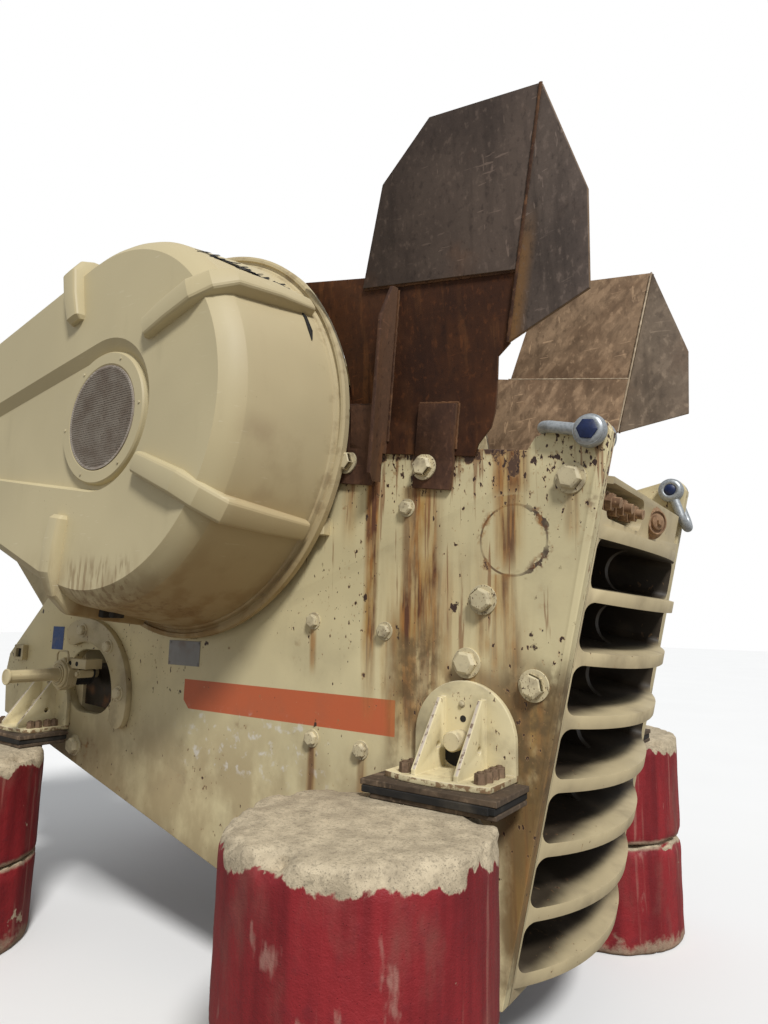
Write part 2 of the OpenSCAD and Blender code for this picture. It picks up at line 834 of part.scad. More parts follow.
// Shackle round the lug, its bow pointing along +X of its own frame
module bow() {
    difference() {
        union() {
            for (s = [-1, 1]) {
                translate([0, s * arm_y, 0]) rotate([0, 90, 0])
                    cylinder(h = bow_len - arm_y, r = bar_r);
                translate([0, s * arm_y + eye_t / 2, 0]) rotate([90, 0, 0])
                    cylinder(h = eye_t, r = eye_r);
            }
            translate([bow_len - arm_y, 0, 0]) rotate([0, 0, -90])
                rotate_extrude(angle = 180) translate([arm_y, 0]) circle(r = bar_r);
        }
        translate([0, 200, 0]) rotate([90, 0, 0]) cylinder(h = 400, r = pin_r + 0.1);
    }
}

head_t = 20;

module shackle_pin() {
    round_bar(0, 0, -eye_y - eye_t, eye_y + eye_t, pin_r);
    round_bar(0, 0, -eye_y - eye_t - head_t, -eye_y - eye_t, 45);
    round_bar(0, 0, eye_y + eye_t, eye_y + eye_t + head_t, 45);
}

module at_lug(side, angle) {
    from_shaft() translate([pin_x, side * (half_w - plate_t / 2), pin_z])
        rotate([0, angle, 0]) children();
}

module near_shackle_bow() { color("#b9bcbb") at_lug(-1, 180 + near_rest) bow(); }
module near_shackle_pin() { color("#2f4f8f") at_lug(-1, 0) shackle_pin(); }
module far_shackle_bow() { color("#b9bcbb") at_lug(1, 90 - far_rest) bow(); }
module far_shackle_pin() { color("#2f4f8f") at_lug(1, 0) shackle_pin(); }

near_side_plate();
far_side_plate();
front_frame();
rear_frame();
fixed_jaw_die();
moving_jaw_die();
pitman();
cheek_plates();
eccentric_shaft();
bearing_housings();
near_flywheel();
far_flywheel();
drive_guard();
far_guard();
guard_grilles();
guard_brackets();
motor();
motor_pulley();
drive_belts();
motor_base();
motor_brackets();
near_chute_wall();
near_chute_wing();
near_chute_front_wing();
near_chute_bars();
far_chute_wall();
far_chute_wing();
far_chute_front_wing();
far_chute_bars();
front_feet();
rear_feet();
foot_pads();
upper_drums();
lower_drums();
toggle_plate();
adjusting_wedge();
tension_rod();
tension_spring();
adjuster_flanges();
adjuster_cylinders();
jaw_clamp_bosses();
near_shackle_bow();
near_shackle_pin();
far_shackle_bow();
far_shackle_pin();
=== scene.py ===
"""Dressing of a single-toggle jaw crusher that stands on painted concrete drums."""
import logging
import math
import random
from dataclasses import dataclass
from enum import Enum
from functools import reduce
from typing import Callable, Iterable, Mapping, Optional, Protocol, Sequence, Union

import bmesh
import bpy
from bmesh.types import BMesh, BMVert
from bpy.types import Material
from mathutils import Matrix, Vector, noise


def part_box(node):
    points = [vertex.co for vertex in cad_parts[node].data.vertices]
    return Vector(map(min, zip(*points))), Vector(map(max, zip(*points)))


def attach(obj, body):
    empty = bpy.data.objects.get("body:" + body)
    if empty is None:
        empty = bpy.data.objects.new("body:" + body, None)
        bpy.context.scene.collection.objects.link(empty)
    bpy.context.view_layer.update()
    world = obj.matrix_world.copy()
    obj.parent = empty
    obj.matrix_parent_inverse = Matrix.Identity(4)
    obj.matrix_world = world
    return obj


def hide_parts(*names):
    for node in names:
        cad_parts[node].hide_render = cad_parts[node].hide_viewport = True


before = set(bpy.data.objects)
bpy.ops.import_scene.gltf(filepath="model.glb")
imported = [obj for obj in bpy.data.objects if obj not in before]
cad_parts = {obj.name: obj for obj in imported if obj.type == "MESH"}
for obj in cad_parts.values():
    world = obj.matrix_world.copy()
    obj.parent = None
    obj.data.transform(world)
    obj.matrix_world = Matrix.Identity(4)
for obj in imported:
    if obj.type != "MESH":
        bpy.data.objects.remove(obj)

log = logging.getLogger("jaw_crusher")

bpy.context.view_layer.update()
SHAFT_X = (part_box("eccentric_shaft")[0].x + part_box("eccentric_shaft")[1].x) / 2
SHAFT_Z = 2.905
Point = tuple[float, float, float]
Flat = tuple[float, float]
Colour = tuple[float, float, float]
# Pairs of radius and height, which are turned about an axis.
Profile = tuple[Flat, ...]
# Pairs of X, counted from the shaft, and Z.
Places = tuple[Flat, ...]
# The two ends of a weld on the chute's wall, and how far it stands off it.
Seam = tuple[Flat, Flat, float]

# Measured lines of the machine. Points are pairs of X, counted from the shaft, and Z.
PLATE_Y = 0.75
PLATE_TOP = (2.06, 2.624)
TOP_SLOPE = math.radians(8.25)
EDGE_FOOT = (1.933, 0.41)
LEAN = math.radians(12.2)
POCKETS = 7
POCKET_FIRST = 0.086
POCKET_PITCH = 0.2595
FRONT_FOOT = (1.775, 1.27)
REAR_FOOT = (-1.395, 1.14)
FOLD_LEAN = math.tan(math.radians(3.04))
FOLD_FOOT = (-0.112, 0.493)
CHUTE_LAP = -0.035
GRILLE_R = 0.279
DRUM_TOPS = (1.2, 1.07)
DRUM_HEIGHT = 0.6
OUTWARDS = (0, -1, 0)


class Side(Enum):
    """The two sides of the machine, as the sign of Y."""

    NEAR = -1
    FAR = 1


class Body(Enum):
    """The bodies that pieces ride on."""

    CRUSHER = "crusher"
    NEAR_SHACKLE = "near_shackle"
    FAR_SHACKLE = "far_shackle"


def place(x: float, y: float, z: float) -> Vector:
    """A point whose X is counted from the eccentric shaft."""
    return Vector((x + SHAFT_X, y, z))


def lean_frame(y: float = 0.0) -> Matrix:
    """The frame of the leaning front edge: X outwards, Z up along the edge."""
    foot = place(EDGE_FOOT[0], y, EDGE_FOOT[1])
    return Matrix.Translation(foot) @ Matrix.Rotation(LEAN, 4, "Y")


def aim(at: Sequence[float], way: Sequence[float], turn: float = 0.0) -> Matrix:
    """A frame at a point with its Z along a direction.

    Args:
        at: Origin of the frame.
        way: Direction of its Z axis.
        turn: Turn about that axis, in degrees.

    Returns:
        The frame as a matrix.
    """
    turned = Vector((0, 0, 1)).rotation_difference(Vector(way)).to_matrix().to_4x4()
    return Matrix.Translation(Vector(at)) @ turned @ Matrix.Rotation(math.radians(turn), 4, "Z")


# Shader kit


def arithmetic(operation: str, swapped: bool = False) -> Callable[..., "Val"]:
    """A method of Val that adds one Math node.

    Args:
        operation: What the node does.
        swapped: Whether the other term comes first.

    Returns:
        The method, which takes the other term where the operation has two.
    """
    def method(self: "Val", other: "Term" = 0.0) -> "Val":
        """One Math node on this value and another term."""
        first, second = (other, self) if swapped else (self, other)
        return self.shade.node("ShaderNodeMath", {"operation": operation}, {0: first, 1: second})

    return method


class Val:
    """A socket of a shader, with arithmetic that adds Math nodes."""

    __add__, __radd__ = arithmetic("ADD"), arithmetic("ADD", True)
    __sub__, __rsub__ = arithmetic("SUBTRACT"), arithmetic("SUBTRACT", True)
    __mul__, __truediv__ = arithmetic("MULTIPLY"), arithmetic("DIVIDE")
    __abs__, root = arithmetic("ABSOLUTE"), arithmetic("SQRT")
    sine, fraction = arithmetic("SINE"), arithmetic("FRACT")
    most, least = arithmetic("MAXIMUM"), arithmetic("MINIMUM")

    def __init__(self, shade: "Shade", socket: bpy.types.NodeSocket) -> None:
        """Keeps the shader and the socket."""
        self.shade = shade
        self.socket = socket

    def ramp(self, low: float, high: float) -> "Val":
        """A smooth step from 0 at low to 1 at high, or down where low is above high."""
        rising = low < high
        ends = {"From Min": min(low, high), "From Max": max(low, high)}
        goal = {"To Min": 0.0 if rising else 1.0, "To Max": 1.0 if rising else 0.0}
        settings = {"interpolation_type": "SMOOTHSTEP"}
        return self.shade.node("ShaderNodeMapRange", settings, {"Value": self, **ends, **goal})

    def within(self, low: float, high: float, soft: float) -> "Val":
        """1 between two values, falling to 0 over a soft width outside them."""
        return self.ramp(low - soft, low) * self.ramp(high + soft, high)


Term = Union[Val, float, int]


class Shade:
    """One material's nodes, and its colour, which is laid on in coats."""

    def __init__(self, name: str) -> None:
        """Starts an empty material of that name."""
        self.material = bpy.data.materials.new(name)
        self.material.use_nodes = True
        self.tree = self.material.node_tree
        self.tree.nodes.clear()
        self.colour: Optional[Val] = None
        self.where = self.node("ShaderNodeTexCoord", {}, {}, "Object")
        self.x, self.y, self.z = self.parts(self.where)

    @property
    def from_shaft(self) -> Val:
        """X counted from the eccentric shaft."""
        return self.x - SHAFT_X

    def node(self, kind: str, settings: Mapping[str, object],
             inputs: Mapping[Union[int, str], object], output: Union[int, str] = 0) -> Val:
        """Adds any node.

        Args:
            kind: The node's type.
            settings: Its properties, set first. The stops of a ramp are pairs of place and colour.
            inputs: Values or links by socket name or number.
            output: The socket that is handed back.

        Returns:
            The output socket as a value.
        """
        made = self.tree.nodes.new(kind)
        for key, value in settings.items():
            setattr(made, key, value)
        for key, value in inputs.items():
            socket = made.inputs[key]
            if isinstance(value, Val):
                self.tree.links.new(value.socket, socket)
            elif socket.type == "RGBA":
                socket.default_value = (*value, 1.0)
            else:
                socket.default_value = value
        return Val(self, made.outputs[output])

    def parts(self, vector: Val) -> tuple[Val, Val, Val]:
        """The three numbers of a vector."""
        split = self.node("ShaderNodeSeparateXYZ", {}, {0: vector})
        outputs = split.socket.node.outputs
        return Val(self, outputs[0]), Val(self, outputs[1]), Val(self, outputs[2])

    def facing(self) -> tuple[Val, Val, Val]:
        """The three numbers of the direction that the surface faces."""
        return self.parts(self.node("ShaderNodeTexCoord", {}, {}, "Normal"))

    def away(self, x: float, z: float) -> Val:
        """Distance from a line across the machine, whose X is counted from the shaft."""
        dx, dz = self.from_shaft - x, self.z - z
        return (dx * dx + dz * dz).root()

    def ribs(self, pitch: float) -> Val:
        """Waves from 0 to 1 that follow one another across the machine."""
        return (self.y * (2 * math.pi / pitch)).sine() * 0.5 + 0.5

    def mix(self, factor: Term, first: object, second: object) -> Val:
        """A colour between two others."""
        # The node has sockets for every type of data. These are the factor and the colours.
        sockets = {0: factor, 6: first, 7: second}
        return self.node("ShaderNodeMix", {"data_type": "RGBA"}, sockets, 2)

    def start(self, factor: Term, first: object, second: object) -> None:
        """Makes the lowest coat, a colour between two others."""
        self.colour = self.mix(factor, first, second)

    def coat(self, mask: Term, colour: object) -> None:
        """Lays a colour over what is there, where a mask shows."""
        self.colour = self.mix(mask, self.colour, colour)

    def noise(self, scale: float, detail: float = 4.0, fall: float = 1.0, shift: float = 0.0,
              rough: float = 0.55, across: float = 1.0, where: Optional[Val] = None) -> Val:
        """Cloudy noise around 0.5.

        Args:
            scale: Clouds to the metre.
            detail: Octaves of finer noise.
            fall: Factor on Z. A small one draws the clouds out into runs.
            shift: Offset that gives another pattern.
            rough: Strength of the finer octaves.
            across: Factor on X.
            where: Coordinates, if they aren't the object's own.

        Returns:
            The noise.
        """
        mapped = self.node("ShaderNodeMapping", {}, {
            "Vector": where or self.where, "Location": (shift, shift * 0.7, -shift),
            "Scale": (across, 1.0, fall)})
        return self.node("ShaderNodeTexNoise", {}, {
            "Vector": mapped, "Scale": scale, "Detail": detail, "Roughness": rough})

    def cells(self, scale: float, shift: float = 0.0) -> Val:
        """Distance to scattered points, for chips and spatter."""
        mapped = self.node("ShaderNodeMapping", {}, {
            "Vector": self.where, "Location": (shift, -shift, shift)})
        return self.node("ShaderNodeTexVoronoi", {}, {"Vector": mapped, "Scale": scale})

    def finish(self, rough: Term, height: Optional[Val] = None, depth: float = 0.002,
               metal: Term = 0.0, shine: float = 0.5) -> Material:
        """Closes the material.

        Args:
            rough: Roughness.
            height: Relief, from 0 to 1.
            depth: Depth of the relief in metres.
            metal: Metallic share.
            shine: Strength of the surface reflection, 0.5 being that of plain varnish.

        Returns:
            The material.
        """
        inputs = {"Base Color": self.colour, "Roughness": rough, "Metallic": metal,
                  "Specular IOR Level": shine}
        if height is not None:
            inputs["Normal"] = self.node("ShaderNodeBump", {}, {
                "Strength": 0.8, "Distance": depth, "Height": height})
        surface = self.node("ShaderNodeBsdfPrincipled", {}, inputs)
        end = self.tree.nodes.new("ShaderNodeOutputMaterial")
        self.tree.links.new(surface.socket, end.inputs["Surface"])
        return self.material


class Finish(Protocol):
    """What every finish offers."""

    name: str
    slot: str

    def make(self) -> Material:
        """Builds the material."""


MADE: dict[str, Material] = {}


def material_of(finish: Finish) -> Material:
    """The material of a finish, built once."""
    if finish.name not in MADE:
        MADE[finish.name] = finish.make()
    return MADE[finish.name]


def tint(colour: Colour, factor: float) -> Colour:
    """A lighter or darker colour."""
    return tuple(min(1.0, c * factor) for c in colour)


# Finishes

RUST = (0.33, 0.148, 0.04)
DEEP_RUST = (0.11, 0.043, 0.02)
CHIP = (0.05, 0.026, 0.018)
GRIME = (0.17, 0.13, 0.085)
OCHRE = (0.4, 0.235, 0.07)
STAIN = (0.13, 0.083, 0.035)
RUST_THREAD = (0.22, 0.1, 0.04)
CHIP_HALO = (0.4, 0.23, 0.1)
SCAB_RIM = (0.3, 0.17, 0.07)
SCAB = (0.085, 0.045, 0.028)
FOOT_STAIN = (0.115, 0.075, 0.032)
FOOT_SHADE_AND_DIRT = (0.2, 0.13, 0.06)
LOW_PLATE_BROWN = (0.3, 0.215, 0.11)
INNER_SHADE_AND_DIRT = (0.12, 0.085, 0.05)
RIB_DIRT = (0.3, 0.22, 0.125)
POCKET_SHADE_AND_SOOT = (0.02, 0.013, 0.008)
RUBBED_EDGE = (0.47, 0.4, 0.35)
RUBBED_GRAIN = (0.14, 0.085, 0.05)
BASE_DIRT = (0.27, 0.19, 0.1)
RIM_RUST = (0.19, 0.1, 0.045)
STRIPE_RED = (0.5, 0.096, 0.029)
WHITE_SCUFF = (0.72, 0.7, 0.66)

GUARD_MUD = (0.19, 0.115, 0.05)
GUARD_WARM = (0.36, 0.22, 0.12)
GUARD_SOOT = (0.24, 0.15, 0.085)
GUARD_UNDERSIDE_SHADE_AND_TONE = (0.27, 0.155, 0.036)
GUARD_BEVEL_SHADE = (0.3, 0.21, 0.08)
GUARD_BRUSH = (0.17, 0.09, 0.033)
GUARD_RIM = (0.22, 0.15, 0.075)
GUARD_SCRATCH = (0.7, 0.63, 0.45)
GUARD_SPECK = (0.16, 0.1, 0.05)

STRIPE_X, STRIPE_Z = (-0.039, 1.411), (1.376, 1.535)
CIRCLE, CIRCLE_R = (1.993, 2.242), 0.151


@dataclass(frozen=True)
class Streak:
    """A run of rust down a plate, with X counted from the shaft and a soft upper end."""

    x: float
    width: float
    top: float
    foot: float
    strength: float = 1.0
    soft: float = 0.01

    def mask(self, shade: Shade, wander: Val) -> Val:
        """Where the run shows.

        Args:
            shade: The material.
            wander: A slow sideways sway.

        Returns:
            Its strength over the surface.
        """
        off = abs(shade.x - (self.x + SHAFT_X) + (wander - 0.5) * 0.05)
        across = off.ramp(self.width * 0.75, self.width * 0.2)
        long = self.top - self.foot
        along = shade.z.ramp(self.foot, self.foot + long * 0.45) * shade.z.ramp(
            self.top + self.soft, self.top - self.soft)
        return across * along * self.strength


@dataclass(frozen=True)
class WornPaint:
    """Cream machine paint with chips, dirt and rust.

    The seed shifts the pattern, and a larger small makes it finer. The flags plate, pockets and
    gussets add the marks that only those parts have: wear, dirt and, on plates and pockets, painted
    shade.
    """

    name: str
    slot: str = "cream_paint"
    colour: Colour = (0.6, 0.505, 0.295)
    seed: float = 0.0
    chips: float = 0.5
    dirt: float = 0.5
    streaks: tuple[Streak, ...] = ()
    plate: bool = False
    pockets: bool = False
    gussets: bool = False
    small: float = 1.0

    def make(self) -> Material:
        """Builds the paint."""
        shade, seed = Shade(self.name), self.seed
        broad = shade.noise(1.1, 3.0, shift=seed)
        patch = shade.noise(4.0 * self.small, 6.0, shift=seed + 3.0)
        fine = shade.noise(60.0, 4.0, shift=seed)
        shade.start(broad.ramp(0.35, 0.65), tint(self.colour, 0.86), tint(self.colour, 1.07))
        runs = shade.noise(9.0, 4.0, 0.12, seed + 5.0)
        shade.coat(runs.ramp(0.55, 0.8) * 0.35, tint(self.colour, 0.72))
        rust: Val = (patch.ramp(0.6, 0.78) * shade.noise(22.0, 5.0, shift=seed).ramp(0.5, 0.7)
                     * (0.3 + self.chips * 0.6))
        if self.plate:
            rust = self._marks(shade, rust)
        if self.pockets:
            self._pockets(shade, patch)
        film = patch.ramp(0.46, 0.75) * (0.55 * self.dirt)
        shade.coat(film, GRIME)
        if self.streaks:
            rust = self._runs(shade, rust)
        rust = rust.least(1.0)
        deep = shade.noise(13.0, 5.0, 0.4, seed + 9.0).ramp(0.4, 0.65)
        deep = deep.most(shade.noise(30.0, 3.0, 0.05, seed + 14.0).ramp(0.48, 0.56))
        shade.coat(rust, shade.mix(deep, RUST, DEEP_RUST))
        zone = shade.noise(2.1, 3.0, shift=seed + 7.0).ramp(0.42, 0.62)
        if self.plate:
            zone = self._scabs(shade, zone)
        if self.gussets:
            self._gussets(shade)
        speck = shade.noise(42.0 * self.small, 3.0, 0.55, seed + 1.0) + zone * 0.07
        edge = 0.775 - 0.05 * self.chips
        shade.coat(speck.ramp(edge - 0.05, edge + 0.01) * 0.5, CHIP_HALO)
        chip = speck.ramp(edge, edge + 0.015)
        shade.coat(chip, CHIP)
        rough = (0.42 + fine * 0.16 + film * 0.3 + rust * 0.3).least(0.95)
        height = fine * 0.18 - chip * 0.5 + rust * fine * 0.35 + broad * 0.1
        return shade.finish(rough, height, 0.0025, shine=0.4)

    def _runs(self, shade: Shade, rust: Val) -> Val:
        """Washes the rust runs down the paint.

        Args:
            shade: The material.
            rust: Rust so far.

        Returns:
            The rust with that of the runs.
        """
        wander = shade.noise(1.5, 2.0, shift=self.seed + 4.0)
        wash = reduce(Val.most, [streak.mask(shade, wander) for streak in self.streaks])
        blot = shade.noise(8.0, 5.0, 0.35, self.seed + 6.0)
        shade.coat(wash * (0.4 + blot.ramp(0.35, 0.65) * 0.55), OCHRE)
        grain = shade.noise(26.0, 4.0, 0.06, self.seed + 2.0).ramp(0.4, 0.56)
        return rust.most(wash * grain * (0.5 + blot.ramp(0.4, 0.6) * 0.6))

    def _scabs(self, shade: Shade, zone: Val) -> Val:
        """Scabs, flecks and late stains of a side plate, and its darker inner face, which is painted
        shade with dirt.

        Args:
            shade: The material.
            zone: Where the paint chips more.

        Returns:
            The same with the strip under the plate's top edge.
        """
        u, seed = shade.from_shaft, self.seed
        fall = PLATE_TOP[1] + (PLATE_TOP[0] + SHAFT_X - shade.x) * math.tan(TOP_SLOPE) - shade.z
        zone = zone.most(fall.ramp(0.5, 0.0) * 2.1)
        thread = shade.noise(30.0, 4.0, 0.05, 12.0) - fall * 0.16
        shade.coat(thread.ramp(0.52, 0.58) * 0.75, RUST_THREAD)
        torn = shade.noise(13.0, 4.0, 0.8, seed + 13.0) + zone * 0.035
        shade.coat(torn.ramp(0.7, 0.725) * 0.6, STAIN)
        shade.coat(torn.ramp(0.72, 0.73), CHIP)
        scab = shade.noise(9.0, 6.0, 0.8, seed + 16.0) + fall.ramp(0.2, 0.0) * u.ramp(2.08, 1.98) * 0.25
        shade.coat(scab.ramp(0.675, 0.71) * 0.7, SCAB_RIM)
        shade.coat(scab.ramp(0.71, 0.725), SCAB)
        fleck = shade.noise(80.0, 2.0, 0.6, seed + 17.0) + zone.least(1.0) * 0.05
        shade.coat(fleck.ramp(0.735, 0.75), CHIP)
        late = shade.noise(16.0, 6.0, 0.7, seed + 18.0).ramp(0.42, 0.6)
        beside = u.ramp(1.88, 2.02) * shade.z.within(1.25, 1.62, 0.18)
        above = u.within(1.45, 1.6, 0.06) * shade.z.within(1.5, 1.78, 0.14)
        shade.coat((beside * 0.85).most(above * 0.7) * late, FOOT_STAIN)
        # Painted shade with dirt: the inner face is darkened so that holes through the plate look dark.
        inside = abs(shade.y).ramp(PLATE_Y - 0.005, PLATE_Y - 0.015)
        shade.coat(inside * abs(shade.facing()[1]).ramp(0.6, 0.9) * 0.6, INNER_SHADE_AND_DIRT)
        return zone

    def _pockets(self, shade: Shade, patch: Val) -> None:
        """Painted shade in the pockets of the front casting, with some soot, darkest under each rib as a
        painted shadow, and the dirt that lies on its ribs.
        """
        x, z = shade.from_shaft - EDGE_FOOT[0], shade.z - EDGE_FOOT[1]
        reach = x * math.cos(LEAN) - z * math.sin(LEAN)
        height = x * math.sin(LEAN) + z * math.cos(LEAN)
        level = ((height - POCKET_FIRST) / POCKET_PITCH).fraction()
        lower = height.ramp(1.6, 0.3) * 0.045
        # Painted shade: the pockets darken with depth, and further out under each rib above, where its
        # shadow falls.
        deep = reach + (patch - 0.5) * 0.08 - level * 0.26 - lower
        ahead, _, up = shade.facing()
        shade.coat(up.ramp(0.45, 0.8) * (0.02 + patch * 0.2), RIB_DIRT)
        # Front-facing rib faces are kept clear of the painted shade.
        edge = ahead.ramp(0.45, 0.8) * reach.ramp(-0.07, -0.02)
        shade.coat(deep.ramp(0.035, -0.075) * height.ramp(1.94, 1.9) * (1 - edge) * 0.97, POCKET_SHADE_AND_SOOT)

    def _gussets(self, shade: Shade) -> None:
        """Rubbed gusset edges, dirt on the base plates and their rusty rims."""
        _, side, up = shade.facing()
        slope = up.within(0.56, 0.66, 0.04) * abs(side).ramp(0.68, 0.74)
        shade.coat(slope * 0.8, RUBBED_EDGE)
        grain = shade.noise(38.0, 5.0, shift=5.0).ramp(0.52, 0.62)
        shade.coat(slope * grain * 0.85, RUBBED_GRAIN)
        shade.coat(up.ramp(0.8, 0.95) * shade.noise(9.0, 5.0).ramp(0.5, 0.7) * 0.5, BASE_DIRT)
        rear, front = (shade.z.within(z - 0.005, z + 0.023, 0.004) * shade.x.ramp(-way, way)
                       for z, way in ((REAR_FOOT[1], -0.01), (FRONT_FOOT[1], 0.01)))
        rim = rear.most(front) * abs(up).ramp(0.6, 0.3) * shade.noise(30.0, 5.0).ramp(0.44, 0.54)
        shade.coat(rim * 0.9, RIM_RUST)

    def _marks(self, shade: Shade, rust: Val) -> Val:
        """Browner lower plate, painted contact shade with dirt round the front foot, stains beside it,
        the plain stripe, the scribed circle and the white scuffs.

        Args:
            shade: The material.
            rust: Rust so far.

        Returns:
            The rust with that of the circle.
        """
        x, z = shade.from_shaft, shade.z
        blot = shade.noise(6.0, 6.0, 0.6, 15.0)
        # Darker and browner towards the bottom of the plate.
        shade.coat(z.ramp(1.5, 1.05) * 0.6 * blot.ramp(0.25, 0.6), LOW_PLATE_BROWN)
        # Painted contact shade with brown dirt, in a band round the front foot's arc.
        around = shade.away(FRONT_FOOT[0], FRONT_FOOT[1] + 0.145).ramp(0.34, 0.25)
        shade.coat(around * z.ramp(1.2, 1.35) * blot.ramp(0.38, 0.52) * 0.8, FOOT_SHADE_AND_DIRT)
        front = x.ramp(1.84, 2.0) * z.ramp(1.85, 1.55) * 0.97
        beside = x.within(1.42, 1.62, 0.1) * z.within(1.25, 1.8, 0.25) * 0.75
        shade.coat(front.most(beside) * blot.ramp(0.3, 0.5), STAIN)
        cut = (x + z).ramp(1.379, 1.382)
        stripe = x.within(*STRIPE_X, 0.002) * z.within(*STRIPE_Z, 0.002) * cut
        shade.coat(stripe * shade.noise(45.0, 5.0, shift=11.0).ramp(0.76, 0.71) * 0.95, STRIPE_RED)
        sweep = shade.noise(9.0, 3.0, shift=2.0).ramp(0.35, 0.6)
        heavy = (x - CIRCLE[0]).ramp(0.02, 0.14) * shade.noise(28.0, 4.0, shift=3.0).ramp(0.45, 0.6)
        ring = abs(shade.away(*CIRCLE) - CIRCLE_R) - heavy * 0.014
        shade.coat(ring.ramp(0.006, 0.003) * (0.35 + sweep * 0.6), CHIP)
        scuff = x.within(0.1, 0.9, 0.25) * z.within(1.12, 1.34, 0.08)
        shade.coat(scuff * shade.noise(16.0, 6.0).ramp(0.55, 0.68) * 0.6, WHITE_SCUFF)
        return rust.most(ring.ramp(0.03, 0.004) * sweep * shade.noise(30.0).ramp(0.45, 0.6) * 0.8)


@dataclass(frozen=True)
class GuardMoulding:
    """Moulded guard shell, faded and dirty in its folds, with painted shade on its bevel and its lower
    wall.
    """

    name: str = "guard_moulding"
    slot: str = "guard_moulding"
    colour: Colour = (0.5, 0.425, 0.252)

    def make(self) -> Material:
        """Builds the moulding's finish."""
        shade = Shade(self.name)
        broad = shade.noise(0.9, 3.0)
        smear = shade.noise(5.0, 5.0, 0.3)
        fine = shade.noise(110.0, 3.0)
        shade.start(broad.ramp(0.35, 0.65), tint(self.colour, 0.93), tint(self.colour, 1.06))
        shade.coat(smear.ramp(0.55, 0.78) * 0.3, tint(self.colour, 0.7))
        low = shade.z.ramp(2.3, 1.8) * shade.noise(6.0, 6.0, 0.5).ramp(0.42, 0.62)
        shade.coat(low * 0.7, GUARD_MUD)
        wall = abs(shade.y).ramp(1.42, 1.3)
        shade.coat(wall * (0.08 + smear * 0.12), GUARD_WARM)
        soot = wall * shade.z.within(2.5, 2.7, 0.16) * shade.noise(3.5, 5.0, shift=6.0).ramp(0.4, 0.7)
        shade.coat(soot * 0.4, GUARD_SOOT)
        # Partly painted shade, partly brown tone: the lower wall darkens towards the bottom.
        under = (shade.z.ramp(2.75, 1.85) * wall * (0.55 + broad * 0.5)).least(1.0)
        shade.coat(under * 0.68, GUARD_UNDERSIDE_SHADE_AND_TONE)
        # Painted shade: the bevel, where it faces partly sideways, is darkened.
        bevel = abs(shade.facing()[1]).within(0.45, 0.9, 0.05)
        shade.coat(bevel * 0.16, GUARD_BEVEL_SHADE)
        brush = shade.noise(34.0, 3.0, 0.16, 2.0).ramp(0.5, 0.62)
        spot = shade.from_shaft.within(-0.1, 0.3, 0.12) * shade.z.within(1.93, 2.12, 0.08)
        shade.coat(spot * brush * 0.5, GUARD_BRUSH)
        rim = abs(shade.y).ramp(0.93, 0.8) * shade.noise(11.0, 5.0).ramp(0.5, 0.68)
        shade.coat(rim * 0.6, GUARD_RIM)
        scratch = shade.noise(10.0, 2.0, 7.0, 4.0).ramp(0.68, 0.72)
        shade.coat(scratch * broad.ramp(0.45, 0.7) * 0.35, GUARD_SCRATCH)
        speck = shade.cells(26.0).ramp(0.075, 0.045) * shade.noise(3.0, 3.0, shift=8.0).ramp(0.55, 0.7)
        shade.coat(speck * 0.8, GUARD_SPECK)
        rough = 0.46 + smear * 0.16 + low * 0.2
        return shade.finish(rough, fine * 0.3 + broad, 0.0012, shine=0.4)


